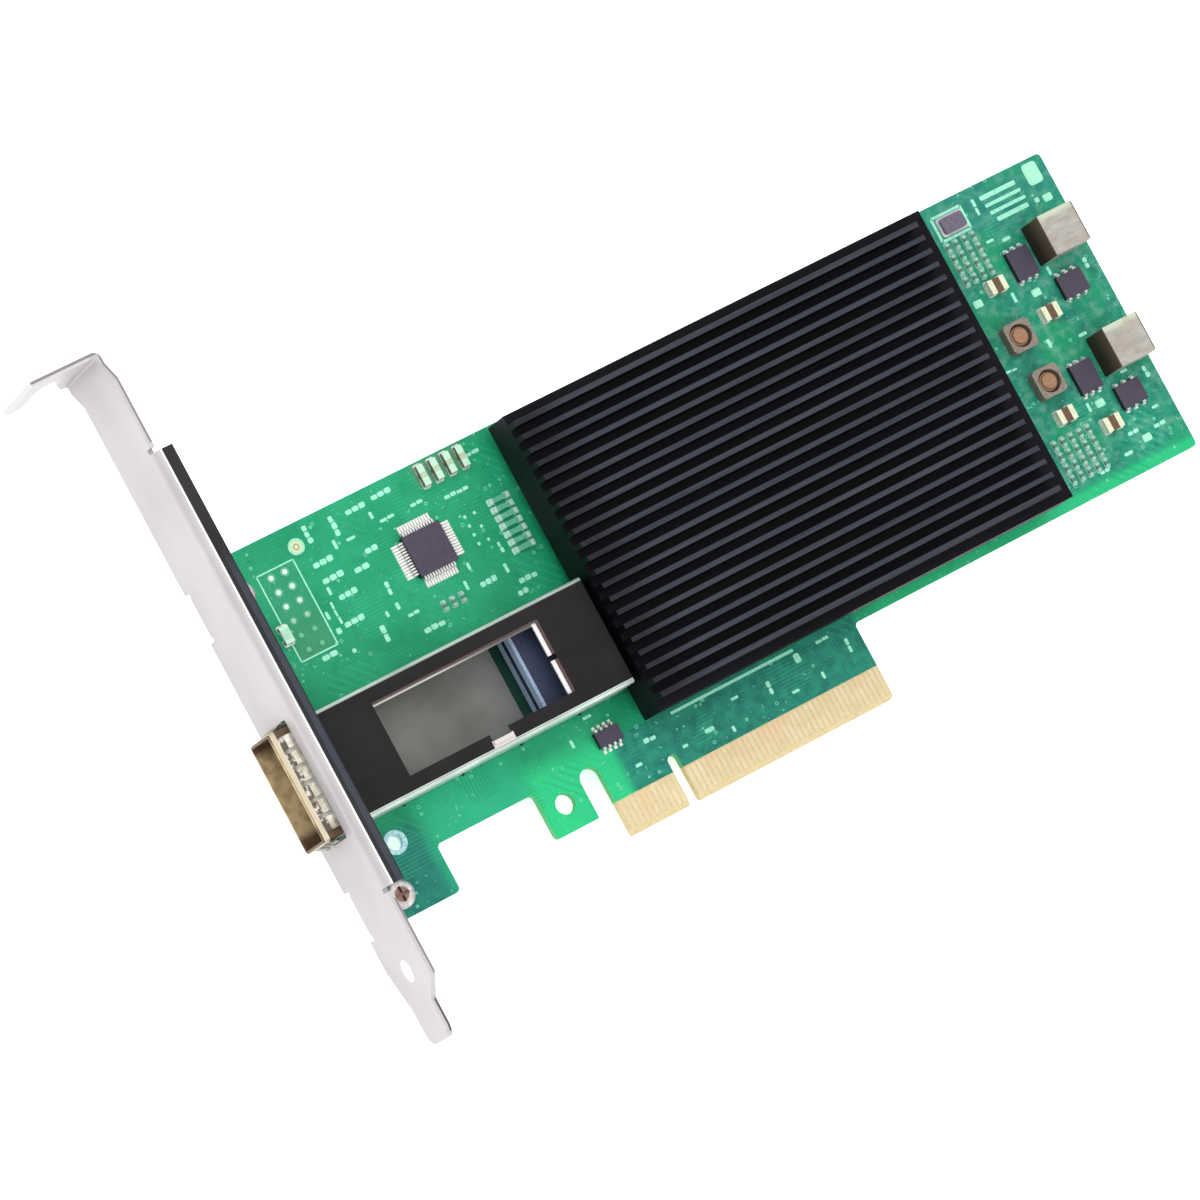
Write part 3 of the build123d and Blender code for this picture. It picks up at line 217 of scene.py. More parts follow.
BOARD_ZONES = {
    "tongue": {"x": ((49.0, 51.5), (97.5, 98.5)), "y": (5.5, 15.2)},
    "foot": {"x": ((4.0, 8.0), (14.0, 17.0)), "y": (None, (16.0, 20.0))},
    "power_field": {"x": ((138.5, 141.0), None), "y": ((15.4, 16.8), None)},
    "hook": {"x": ((32.0, 35.5), (49.4, 51.0)), "y": (None, (14.5, 18.5))},
    "far_strip": {"x": ((98.0, 104.0), None), "y": (None, (15.0, 15.9))},
    "low_edge": {"x": ((14.0, 18.0), (32.0, 36.0)), "y": (None, (20.9, 21.9))},
    "mottled": {"x": ((138.5, 140.0), None), "y": ((15.6, 17.0), None)},
    "far_top": {"x": ((138.5, 141.0), None), "y": ((56.0, 62.0), None)},
    "header": {"x": ((10.6, 11.8), (16.9, 17.9)), "y": (48.6, 63.6)},
    "header_upper": {"y": ((50.0, 60.0), None)},
    "port_edge_low": {"x": (0.5, 4.6), "y": (18.5, 22.6)},
    "port_edge_high": {"x": (0.5, 4.6), "y": (38.6, 42.6)},
    "port_shade": {"x": (38.6, 41.6), "y": (21.8, 39.6)},
    "contact_strip": {"x": (46.3, 98.0), "y": (None, 6.0)},
    "front": {"facing_z": (0.5, None)},
}
BRACKET_ZONES = {
    "tab": {"x": (None, (-1.2, -0.6))},
    "fold_highlight": {"x": (1.3, 1.65), "y": (9.9, 87.3), "z": (14.0, None)},
    "flange": {"x": (1.65, None), "y": (9.9, 87.3), "z": (14.0, None)},
    "flange_reflection_streak": {"x": (2.4, 3.4), "y": (None, (64.0, 70.0))},
    "upward": {"z": (8.0, None), "facing_z": (0.75, None)},
    "edge_above_flange": {"y": (88.6, None)},
    "edge_below_flange": {"y": (None, 8.4)},
    "sheet_edge": {"x": (0.5, 1.0)},
    "tab_corner": {"y": (105.0, None)},
    "above_lower_end": {"y": ((-7.0, -6.0), None)},
    "toe_hole_wall": {"x": (-0.5, 1.2)},
}
CAGE_ZONES = {
    "top": {"x": (0.4, 55.4), "y": (22.0, 39.5), "z": (9.9, None)},
    "window_rim": {"x": (13.5, 46.0), "y": (23.4, 38.4), "z": (9.5, 9.9)},
    "rear": {"facing_x": (0.6, None)},
    "upper_seam": {"y": (39.42, 39.62), "z": (9.0, None)},
    "lower_seam": {"y": (21.7, 21.82), "z": (9.0, None)},
    "rear_ledge": {"x": (44.2, None), "z": (8.9, 9.56)},
    "rear_ledge_end": {"x": (45.1, None)},
    "side_ledge": {"x": (14.0, 44.3), "y": (36.3, None), "z": (8.9, 9.56)},
    "side_ledge_far": {"x": ((26.0, 38.0), None)},
    "lip": {"x": (29.0, 33.0), "y": (21.9, 23.2), "z": (9.55, None)},
    "floor": {"x": (1.0, None), "z": (None, 1.2), "facing_z": (0.75, None)},
    "nose": {"x": (None, 0.4)},
    "nose_low_end": {"y": (None, (23.3, 24.8))},
    "nose_high_end": {"y": ((37.6, 39.1), None)},
    "between_fingers": {"x": (-2.3, 0.4), "y": (24.2, 38.4), "z": (9.5, None)},
    "finger_tips": {"x": ((-1.9, -1.2), None)},
}
SPRING_ZONES = {
    "front_band": {"x": (None, (-2.55, -2.35))},
    "finger_roots": {"x": (-2.3, -1.35)},
    "low_end": {"x": (-2.3, None), "y": (None, (23.0, 24.2))},
    "high_end": {"x": (-2.3, None), "y": ((38.4, 39.6), None)},
}
STRAP_ZONES = {
    "top": {"facing_z": (0.7, None)},
    "upper_band": {"y": ((57.6, 58.4), 59.2)},
    "lower_band": {"y": ((36.4, 37.2), 38.0)},
}
FERRITE_ZONES = {
    "core_top": {"z": ((2.5, 6.6), None)},
    "shield": {"x": (143.4, 152.2), "z": (None, 2.35)},
    "drum_top": {"z": (1.85, 2.05), "facing_z": (0.8, None)},
}
SINK_ZONES = {
    "fin_top_highlight": {"z": ((13.95, 14.2), None), "facing_z": ((0.5, 0.9), None)},
    "fin_start": {"x": (None, (58.5, 66.0))},
}
RING_ZONES = {
    "header": {"y": (30.0, 64.0)},
    "header_upper": {"y": ((52.0, 60.0), None)},
    "foot": {"y": (None, 20.0)},
}
PLUG_ZONES = {
    "header_upper": {"y": ((53.5, 58.0), None)},
    "top_ring": {"y": (64.0, None)},
}
CONNECTOR_MOUTH = {"facing_x": (None, -0.6)}
SCREW_HEAD = {"x": (3.0, 11.0)}
WARM_GOLD = {"y": ((1.8, 3.4), None)}
SCREW_CENTRES = ((6.9, 8.8), (6.9, 62.0))
TOP_RING_CENTRE = (19.2, 65.2)
TOE_HOLE_Y, TOE_HOLE_Z, TOE_HOLE_SQUARE = -2.4, 6.2, 3.6


# Finishes

SINK_SPECULAR = 0.12
FLOOR_GLOW = 0.62


def zones(finish, table):
    return {name: finish.zone(limits) for name, limits in table.items()}


def solder_mask_finish():
    """Green mask over copper: tracks, vias, darker and brighter fields, bare laminate edge, and
    painted shade round the top capacitor row, beside the port and in the cage's window.
    """
    f = Finish("solder_mask_green")
    zone = zones(f, BOARD_ZONES)
    front = zone["front"]
    patch = f.noise(0.09, 2.0)
    blotch = f.noise(0.55)
    grain = f.noise(1.6)
    base = f.mix(f.ramp(patch, 0.35, 0.68), tone(16, 148, 100), tone(34, 166, 116))
    base = f.mix(f.ramp(blotch, 0.5, 0.7) * 0.4, base, tone(16, 126, 100))

    power = zone["power_field"] * f.ramp(patch, 0.34, 0.52)
    teal = zone["tongue"] | zone["foot"] | power * 0.8
    teal_tone = f.mix(f.ramp(blotch, 0.36, 0.64), tone(36, 140, 118), tone(12, 106, 100))
    colour = f.mix(teal * 0.9, base, teal_tone)
    colour = f.mix(zone["foot"] * 0.4, colour, tone(4, 98, 94))
    colour = f.mix(zone["hook"] * 0.8 | zone["far_strip"] * 0.6, colour, tone(40, 206, 132))
    colour = f.mix(zone["low_edge"] * 0.6, colour, tone(40, 186, 138))
    mottle = f.ramp(f.noise(0.5, 2.0), 0.46, 0.66) * zone["mottled"]
    colour = f.mix(mottle * front * 0.4, colour, tone(122, 180, 160))
    colour = f.mix(zone["far_top"] * 0.3, colour, tone(48, 132, 124))
    header_tone = f.mix(zone["header_upper"], tone(86, 140, 100), tone(60, 150, 116))
    colour = f.mix(zone["header"] * front * 0.4, colour, header_tone)
    # Painted shade: the board round the top capacitor row is painted brown-grey, as shade between
    # and beside the capacitors.
    low, high = (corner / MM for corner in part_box("row_capacitor_ends"))
    row = f.zone({"x": ((low.x - 1.2, low.x), (high.x, high.x + 0.8)),
                  "y": ((low.y - 0.2, low.y + 0.8), (high.y, high.y + 0.6))})
    colour = f.mix(row * front * 0.6, colour, tone(112, 140, 112))
    # Painted shade: the board on either side of the cage, next to the bracket, is painted
    # near-black.
    port_edge_shade = zone["port_edge_low"] | zone["port_edge_high"]
    colour = f.mix(port_edge_shade * front * 0.85, colour, tone(40, 46, 40))

    lane, lane_turn, _ = f.split(f.cells(0.16, "CHEBYCHEV", "Color"))
    across = f.ramp(f.bands("Y", 0.52), 0.62, 0.78)
    along = f.ramp(f.bands("X", 0.52), 0.62, 0.78)
    slope = f.ramp(f.bands("DIAGONAL", 0.36), 0.66, 0.8)
    tracks = ((lane < 0.30) * across + f.within(lane, 0.30, 0.52) * along
              + f.within(lane, 0.52, 0.66) * slope)
    track_tone = f.mix(lane_turn, tone(58, 196, 150), tone(8, 120, 84))
    colour = f.mix(tracks * 0.30, colour, track_tone)
    vias = f.cells(0.5)
    sparse = f.noise(0.22, 1.0) > 0.5
    ring = f.within(vias, 0.07, 0.17) * sparse
    hole = (vias < 0.07) * sparse
    colour = f.mix(ring * 0.6, colour, tone(120, 220, 176))
    colour = f.mix(hole * 0.7, colour, tone(10, 72, 56))
    fleck = f.ramp(f.noise(1.1, 2.0), 0.64, 0.7) * f.ramp(patch, 0.4, 0.6)
    colour = f.mix(fleck * 0.35, colour, tone(140, 230, 190))
    colour = f.mix(zone["port_shade"] * front, colour, tone(8, 56, 46))

    side = 1.0 - f.ramp(f.facing_z * f.facing_z, 0.3, 0.6)
    laminate = f.mix(f.bands("Z", 2.2, 1.2), tone(72, 180, 116), tone(120, 186, 118))
    colour = f.mix(side, colour, laminate)
    bare = f.mix(f.ramp(grain, 0.3, 0.7), tone(226, 206, 160), tone(206, 188, 142))
    colour = f.mix(zone["contact_strip"], colour, bare)
    relief = tracks * 0.8 + ring * 0.6 - hole + grain * 0.08
    return f.done(colour, 0.34 + grain * 0.16 + side * 0.25, 0.0, f.bump(relief, 0.03, 0.5))


def gold_finish():
    """Thin gold plating, warm tan, with fine rub marks along the insertion way."""
    f = Finish("contact_gold")
    rub = f.noise(3.0, 2.0, (6.0, 0.25, 1))
    tint = f.noise(0.35, 1.0)
    colour = f.mix(f.ramp(tint, 0.3, 0.7), tone(224, 210, 174), tone(214, 195, 152))
    warm = f.ramp(f.noise(0.16, 1.0), 0.45, 0.6) * f.zone(WARM_GOLD)
    colour = f.mix(warm * 0.45, colour, tone(226, 186, 144))
    colour = f.mix(f.ramp(rub, 0.58, 0.72) * 0.3, colour, tone(196, 170, 118))
    return f.done(colour, 0.34 + rub * 0.16, 0.45, f.bump(rub, 0.008))


def solder_finish():
    """Bright tin and solder, slightly uneven."""
    f = Finish("bright_solder")
    dull = f.noise(1.4)
    colour = f.mix(f.ramp(dull, 0.3, 0.7), tone(226, 232, 228), tone(188, 198, 196))
    return f.done(colour, 0.22 + dull * 0.22, 0.7, f.bump(dull, 0.03))


def bracket_finish():
    """Plated sheet: pale satin, with painted light and shade: a dark reflection on the narrow
    flange and on the edges that face up, a highlight along the fold, a lighter tab, and the
    toe hole's wall painted white.
    """
    f = Finish("bracket_plating")
    zone = zones(f, BRACKET_ZONES)
    roll = f.noise(1.8, 3.0, (1, 0.06, 1))
    cloud = f.noise(0.06, 2.0)
    colour = f.mix(f.ramp(cloud, 0.3, 0.7), tone(197, 194, 194), tone(187, 183, 185))
    colour = f.mix(f.ramp(roll, 0.5, 0.8) * 0.25, colour, tone(182, 178, 181))
    scuff = f.ramp(f.noise(0.9, 5.0, (1, 0.4, 1)), 0.62, 0.7)
    colour = f.mix(scuff * 0.2, colour, tone(170, 166, 169))
    # Painted light: the bent tab is painted lighter than the rest of the sheet, as it is lit.
    colour = f.mix(zone["tab"], colour, tone(206, 203, 203))
    # Painted highlight: a near-white line along the outer bend of the fold beside the flange.
    colour = f.mix(zone["fold_highlight"] * 0.8, colour, tone(248, 246, 247))

    # Painted dark reflection: the sheet's edges that face up, beyond the flange's ends and at the
    # tab's corner, are painted dark.
    edge_run = zone["edge_above_flange"] | zone["edge_below_flange"]
    upward_edge_reflection = zone["upward"] * edge_run * (zone["sheet_edge"] | zone["tab_corner"])
    edge_tone = f.mix(zone["above_lower_end"], tone(92, 88, 90), tone(140, 136, 138))
    colour = f.mix(upward_edge_reflection, colour, edge_tone)
    # Painted light: the toe hole's wall is painted white, for the bright floor seen through the
    # hole.
    off_y = f.y - TOE_HOLE_Y
    off_z = f.z - TOE_HOLE_Z
    hole = (off_y * off_y + off_z * off_z < TOE_HOLE_SQUARE) * zone["toe_hole_wall"]
    colour = f.mix(hole, colour, tone(252, 252, 252))

    # Painted dark reflection: the flange's flat, facing up, is painted near-black with a bluish
    # streak, for the dark it mirrors; its metallic is lowered with it.
    dark = f.mix(f.ramp(cloud, 0.3, 0.7), tone(35, 32, 34), tone(45, 44, 48))
    dark = f.mix(zone["flange_reflection_streak"] * 0.6, dark, tone(66, 72, 84))
    colour = f.mix(zone["flange"], colour, dark)
    return f.done(colour, 0.42 + roll * 0.12, 0.25 - zone["flange"] * 0.2,
                  f.bump(roll + scuff * 0.4, 0.012))


def screw_finish():
    """Plated screw steel, its drive and the middle of the head brown and dull."""
    f = Finish("screw_plating")
    dull = f.noise(1.2, 2.0)
    colour = f.mix(f.ramp(dull, 0.35, 0.65), tone(222, 218, 216), tone(178, 172, 170))
    lower, upper = (f.disc(centre, 1.9, 0.7) for centre in SCREW_CENTRES)
    colour = f.mix((lower | upper) * f.zone(SCREW_HEAD) * 0.9, colour, tone(128, 92, 80))
    return f.done(colour, 0.3 + dull * 0.15, 0.6, f.bump(dull, 0.02))


def cage_finish():
    """Cage sheet: painted dark reflection on the top and back faces, bright on the folds and
    walls, grey floor, brown-gold nose, painted shadow between the fingers near their roots.
    """
    f = Finish("cage_sheet")
    zone = zones(f, CAGE_ZONES)
    cloud = f.noise(0.12, 2.0)
    roll = f.noise(1.1, 3.0, (0.2, 1, 1))
    wall = f.mix(f.ramp(cloud, 0.3, 0.7), tone(206, 222, 214), tone(168, 182, 176))
    # Painted dark reflection: the top and the faces that look back are painted near-black, for the
    # dark that the sheet mirrors.
    top = f.mix(f.ramp(cloud, 0.35, 0.65), tone(22, 19, 22), tone(31, 28, 31))
    colour = f.mix(zone["top"] | zone["rear"], wall, top)
    colour = f.mix((zone["upper_seam"] | zone["lower_seam"]) * 0.6, colour, tone(70, 84, 78))

    rear_tone = f.mix(zone["rear_ledge_end"], tone(232, 228, 228), tone(120, 92, 96))
    colour = f.mix(zone["rear_ledge"], colour, rear_tone)
    side_tone = f.mix(zone["side_ledge_far"], tone(206, 204, 198), tone(120, 116, 112))
    colour = f.mix(zone["side_ledge"], colour, side_tone)
    colour = f.mix(zone["window_rim"], colour, tone(92, 76, 78))
    colour = f.mix(zone["lip"], colour, tone(214, 208, 204))
    floor_tone = f.mix(f.ramp(cloud, 0.3, 0.7), tone(126, 128, 124), tone(104, 106, 102))
    colour = f.mix(zone["floor"], colour, floor_tone)

    brown = f.mix(f.ramp(f.noise(0.6), 0.35, 0.65), tone(208, 184, 142), tone(168, 142, 102))
    ends = zone["nose_low_end"] | zone["nose_high_end"]
    brown = f.mix(ends * 0.85, brown, tone(72, 46, 34))
    colour = f.mix(zone["nose"], colour, brown)
    # Painted shadow: between the fingers the sheet is painted darker towards their roots, where
    # they lift off it.
    between_tone = f.mix(zone["finger_tips"], tone(146, 134, 118), tone(230, 226, 214))
    colour = f.mix(zone["between_fingers"], colour, between_tone)

    dull = (zone["top"] | zone["window_rim"] | zone["rear_ledge"] | zone["side_ledge"]
            | zone["nose"] | zone["floor"] | zone["rear"])
    rough = 0.32 + roll * 0.14 + zone["top"] * 0.14
    return f.done(colour, rough, 0.12 + (1.0 - dull) * 0.3, f.bump(roll, 0.015))


def spring_finish():
    """Bright spring sheet: a cream front band, warm grey fingers with a painted shadow at their
    roots.
    """
    f = Finish("spring_sheet")
    zone = zones(f, SPRING_ZONES)
    tint = f.noise(0.7, 2.0)
    colour = f.mix(f.ramp(tint, 0.35, 0.65), tone(228, 224, 212), tone(190, 180, 162))
    # Painted shadow: a broken dark line across the fingers' roots, where they rise from the band.
    root = zone["finger_roots"] * f.ramp(f.noise(1.0, 2.0), 0.36, 0.5)
    colour = f.mix(root * 0.88, colour, tone(62, 50, 44))
    colour = f.mix((zone["low_end"] | zone["high_end"]) * 0.45, colour, tone(96, 80, 72))
    colour = f.mix(zone["front_band"], colour, tone(208, 196, 170))
    return f.done(colour, 0.3 + tint * 0.14, 0.45, f.bump(tint, 0.02))


def connector_finish():
    """Moulded plastic, slate on top, with a painted pale blue reflection on the mouth's face."""
    f = Finish("connector_plastic")
    grain = f.noise(4.0)
    slate = f.mix(f.ramp(grain, 0.3, 0.7), tone(58, 66, 92), tone(40, 46, 66))
    # Painted reflection: the mouth's face is painted pale blue, for the light it mirrors.
    pale = f.mix(f.ramp(grain, 0.3, 0.7), tone(178, 198, 222), tone(150, 172, 200))
    colour = f.mix(f.zone(CONNECTOR_MOUTH), slate, pale)
    return f.done(colour, 0.42 + grain * 0.12, 0.0, f.bump(grain, 0.02))


def sink_finish():
    """Black anodised extrusion: blue-black walls, a painted grey highlight on the fin tops that
    fades near the fins' start, die lines along fins.
    """
    f = Finish("black_anodised")
    zone = zones(f, SINK_ZONES)
    die = f.noise(1.5, 3.0, (0.03, 1, 1))
    cloud = f.noise(0.05, 2.0)
    wall = f.mix(f.ramp(cloud, 0.3, 0.7), tone(11, 10, 16), tone(17, 17, 24))
    # Painted highlight: the fin tops are painted grey, fading out near where the fins start.
    top = f.mix(f.ramp(die, 0.35, 0.65), tone(50, 53, 62), tone(64, 66, 76))
    top = f.mix(zone["fin_start"] * 0.7, top, tone(24, 22, 26))
    colour = f.mix(zone["fin_top_highlight"], wall, top)
    return f.done(colour, 0.42 + die * 0.16, 0.15, f.bump(die, 0.02),
                  {"Specular IOR Level": SINK_SPECULAR})


def plain_finish(name, light, dark, roughness, metallic, scale=1.5, relief=0.02):
    """A finish of two near tones with a fine grain."""
    f = Finish(name)
    grain = f.noise(scale)
    colour = f.mix(f.ramp(grain, 0.3, 0.7), tone(*light), tone(*dark))
    return f.done(colour, roughness - 0.06 + grain * 0.12, metallic, f.bump(grain, relief))


def chip_finish():
    """Moulded chip plastic: a violet-grey top, with the walls painted darker as shade."""
    f = Finish("chip_mould")
    grain = f.noise(5.0)
    top = f.mix(f.ramp(grain, 0.3, 0.7), tone(82, 75, 92), tone(66, 60, 76))
    # Painted shade: the walls are painted darker than the top by which way they face.
    colour = f.mix(f.ramp(f.facing_z * f.facing_z, 0.5, 0.8), tone(40, 36, 42), top)
    return f.done(colour, 0.46 + grain * 0.12, 0.0, f.bump(grain, 0.015))


def ferrite_finish():
    """Pressed ferrite, brown-black with a speckle; the low shields greyer, drums copper brown."""
    f = Finish("pressed_ferrite")
    zone = zones(f, FERRITE_ZONES)
    speckle = f.noise(3.5, 4.0)
    dark = f.mix(f.ramp(speckle, 0.35, 0.65), tone(58, 50, 40), tone(42, 36, 30))
    # Painted shade: the cores are painted darker low down by the board and lighter towards the
    # top.
    dark = f.mix(zone["core_top"] * 0.6, dark, tone(112, 94, 78))
    shield = f.mix(f.ramp(speckle, 0.35, 0.65), tone(152, 142, 130), tone(126, 114, 104))
    colour = f.mix(zone["shield"], dark, shield)
    drum = f.mix(f.ramp(speckle, 0.4, 0.6), tone(176, 132, 102), tone(146, 112, 90))
    colour = f.mix(zone["shield"] * zone["drum_top"], colour, drum)
    return f.done(colour, 0.55 + speckle * 0.15, 0.0, f.bump(speckle, 0.04))


def strap_finish():
    """Tinned copper strap with a paler band, a painted highlight, on the upper edge."""
    f = Finish("tinned_strap")
    zone = zones(f, STRAP_ZONES)
    streak = f.noise(1.2, 3.0, (0.3, 1, 1))
    colour = f.mix(f.ramp(streak, 0.35, 0.65), tone(186, 183, 175), tone(167, 163, 155))
    # Painted highlight: a pale greenish band along the upper edge of each strap's top.
    band = zone["top"] * (zone["upper_band"] | zone["lower_band"])
    colour = f.mix(band * 0.8, colour, tone(206, 216, 192))
    smudge = f.ramp(f.noise(0.35, 2.0), 0.5, 0.62) * zone["top"]
    colour = f.mix(smudge * 0.3, colour, tone(170, 140, 126))
    return f.done(colour, 0.32 + streak * 0.14, 0.55, f.bump(streak, 0.02))


def winding_finish():
    """Enamelled wire laid in tight turns."""
    f = Finish("enamelled_wire")
    turns = f.bands("Z", 1.3)
    tint = f.noise(0.8, 2.0)
    colour = f.mix(f.ramp(turns, 0.2, 0.8), tone(104, 78, 62), tone(150, 112, 86))
    colour = f.mix(f.ramp(tint, 0.4, 0.7) * 0.4, colour, tone(139, 111, 88))
    return f.done(colour, 0.3, 0.1, f.bump(turns, 0.12, 0.8))


def row_body_finish():
    """Capacitor bodies of the top row: pale on top, with the walls painted brown-grey as shade."""
    f = Finish("row_ceramic")
    grain = f.noise(2.5)
    top = f.mix(f.ramp(grain, 0.3, 0.7), tone(196, 214, 184), tone(172, 196, 166))
    # Painted shade: the walls are painted brown-grey, darker than the pale top, by which way they
    # face.
    colour = f.mix(f.ramp(f.facing_z, 0.5, 0.8), tone(118, 108, 88), top)
    return f.done(colour, 0.45 + grain * 0.1, 0.0, f.bump(grain, 0.02))


def row_ends_finish():
    """Tinned ends of the top row: mint-white on top, with the walls painted brown-grey as shade.
    """
    f = Finish("row_tin")
    grain = f.noise(2.5)
    top = f.mix(f.ramp(grain, 0.3, 0.7), tone(206, 246, 218), tone(182, 234, 202))
    # Painted shade: the walls are painted brown-grey, darker than the top, by which way they face.
    colour = f.mix(f.ramp(f.facing_z, 0.4, 0.8), tone(126, 122, 102), top)
    return f.done(colour, 0.36 + grain * 0.1, 0.15, f.bump(grain, 0.02))


def ring_finish():
    """Tinned rings: mint at the header, cream inside the top one, pale blue at the foot."""
    f = Finish("ring_solder")
    zone = zones(f, RING_ZONES)
    grain = f.noise(2.0)
    colour = f.mix(f.ramp(grain, 0.3, 0.7), tone(164, 234, 202), tone(134, 214, 182))
    header = f.mix(zone["header_upper"], tone(60, 150, 110), tone(92, 186, 144))
    colour = f.mix(zone["header"], colour, header)
    colour = f.mix(f.disc(TOP_RING_CENTRE, 1.5, 1.0), colour, tone(212, 220, 176))
    foot = f.mix(f.ramp(grain, 0.4, 0.6), tone(196, 230, 234), tone(150, 204, 212))
    colour = f.mix(zone["foot"], colour, foot)
    return f.done(colour, 0.4 + grain * 0.1, 0.1, f.bump(grain, 0.02))


def plug_finish():
    """Solder in the rings' holes: white in the header's upper rows, dull in the lower, cream in
    the top ring."""
    f = Finish("plug_solder")
    zone = zones(f, PLUG_ZONES)
    grain = f.noise(2.0)
    white = f.mix(f.ramp(grain, 0.3, 0.7), tone(232, 252, 240), tone(206, 244, 224))
    colour = f.mix(zone["header_upper"], tone(104, 190, 150), white)
    colour = f.mix(zone["top_ring"], colour, tone(212, 220, 176))
    return f.done(colour, 0.36 + grain * 0.1, 0.1, f.bump(grain, 0.02))


def ink_finish():
    """Printed marking ink, pale mint and slightly broken in tone."""
    f = Finish("marking_ink")
    wear = f.noise(1.8, 4.0)
    colour = f.mix(f.ramp(wear, 0.35, 0.7), tone(178, 242, 218), tone(128, 224, 188))
    return f.done(colour, 0.55 + wear * 0.1, 0.0, f.bump(wear, 0.01))


def floor_finish():
    """A pale table with a little light of its own."""
    f = Finish("studio_floor")
    colour = f.mix(f.noise(0.004, 2.0), tone(250, 250, 250), tone(246, 246, 247))
    return f.done(colour, 0.9, 0.0, None,
                  {"Emission Color": (1.0, 1.0, 1.0, 1.0), "Emission Strength": FLOOR_GLOW})


FINISHES = {
    "mask": solder_mask_finish(),
    "gold": gold_finish(),
    "solder": solder_finish(),
    "bracket": bracket_finish(),
    "screw": screw_finish(),
    "cage": cage_finish(),
    "spring": spring_finish(),
    "connector": connector_finish(),
    "sink": sink_finish(),
    "chip": chip_finish(),
    "ferrite": ferrite_finish(),
    "strap": strap_finish(),
    "winding": winding_finish(),
    "row_body": row_body_finish(),
    "row_ends": row_ends_finish(),
    "ring": ring_finish(),
    "plug": plug_finish(),
    "ink": ink_finish(),
    "pad": plain_finish("soft_pad", (150, 156, 162), (134, 140, 146), 0.8, 0.0),
    "lid": plain_finish("bright_lid", (206, 206, 214), (182, 182, 190), 0.3, 0.8),
    "substrate": plain_finish("green_substrate", (48, 128, 88), (36, 108, 74), 0.5, 0.0),
    "capacitor": plain_finish("ceramic_brown", (118, 92, 68), (94, 74, 56), 0.5, 0.0, 3.0),
    "small_body": plain_finish("small_ceramic", (92, 142, 116), (74, 122, 100), 0.5, 0.0, 3.0),
    "small_ends": plain_finish("small_tin", (172, 212, 198), (140, 188, 172), 0.4, 0.1, 2.0),
    "ends": plain_finish("tinned_ends", (236, 238, 208), (214, 218, 190), 0.36, 0.2, 2.0),
    "resistor": plain_finish("glazed_film", (112, 196, 168), (84, 172, 144), 0.3, 0.0, 2.5),
    "resistor_ends": plain_finish(
        "resistor_tin", (200, 236, 220), (170, 214, 198), 0.4, 0.1, 2.0),
    "lamp": plain_finish("pale_resin", (190, 232, 208), (164, 216, 188), 0.25, 0.0, 1.5, 0.01),
    "crystal": plain_finish("crystal_ceramic", (214, 216, 220), (190, 192, 198), 0.5, 0.0, 3.0),
    "crystal_can": plain_finish("crystal_can", (120, 112, 130), (98, 92, 108), 0.35, 0.3, 2.0),
    "leads": plain_finish("lead_tin", (248, 245, 242), (228, 224, 222), 0.34, 0.15, 2.0),
    "corner_patch": plain_finish("bare_patch", (178, 244, 212), (156, 234, 196), 0.4, 0.0),
}
NODE_FINISH = {
    "circuit_board": "mask", "edge_contacts_front": "gold", "edge_contacts_back": "gold",
    "plated_rings": "ring", "bracket": "bracket", "bracket_screws": "screw",
    "port_cage": "cage", "cage_spring_collar": "spring", "port_connector": "connector",
    "upper_port_contacts": "gold", "lower_port_contacts": "gold", "heat_sink": "sink",
    "heat_sink_screws": "screw", "thermal_pad": "pad", "controller_lid": "lid",
    "controller_substrate": "substrate", "controller_solder_balls": "solder",
    "microcontroller": "chip", "microcontroller_leads": "leads", "regulator": "chip",
    "regulator_leads": "solder", "memory_chip": "chip", "memory_chip_leads": "solder",
    "power_switches": "chip", "power_switch_leads": "solder",
    "power_inductor_cores": "ferrite", "power_inductor_straps": "strap",
    "filter_inductor_shields": "ferrite", "filter_inductor_windings": "winding",
    "filter_inductor_drums": "ferrite", "row_capacitor_bodies": "row_body",
    "row_capacitor_ends": "row_ends", "supply_capacitor_bodies": "capacitor",
    "supply_capacitor_ends": "ends", "bypass_capacitor_bodies": "small_body",
    "bypass_capacitor_ends": "small_ends", "resistor_bodies": "resistor",
    "resistor_ends": "resistor_ends", "back_capacitor_bodies": "capacitor",
    "back_capacitor_ends": "ends", "status_lamp": "lamp", "status_lamp_ends": "row_ends",
    "clock_crystal_base": "crystal", "clock_crystal_can": "crystal_can",
}
for node, finish in NODE_FINISH.items():
    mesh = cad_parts[node].data
    mesh.materials.clear()
    mesh.materials.append(FINISHES[finish])


# Modelling helpers

INK_HEIGHT = 0.03 * MM
INK_CORNER = 0.3          # share of a bar's smaller side
PAD_HEIGHT = 0.04 * MM
PAD_CORNER = 0.2          # share of a pad's smaller side, as is the next
SOLDER_INSET = 0.08
SOLDER_RISE = 0.12 * MM
SOLDER_DRAFT = 0.9        # how much the solder draws in as it rises
WELD = 0.002 * MM


def deselect():
    bpy.ops.object.select_all(action="DESELECT")


def edit(piece):
    """Goes to edit mode on one piece, with all of it selected."""
    deselect()
    bpy.context.view_layer.objects.active = piece
    piece.select_set(True)
    bpy.ops.object.mode_set(mode="EDIT")
    bpy.ops.mesh.select_all(action="SELECT")


def object_mode():
    bpy.ops.object.mode_set(mode="OBJECT")


def apply_place():
    bpy.ops.object.transform_apply(location=True, rotation=True, scale=True)


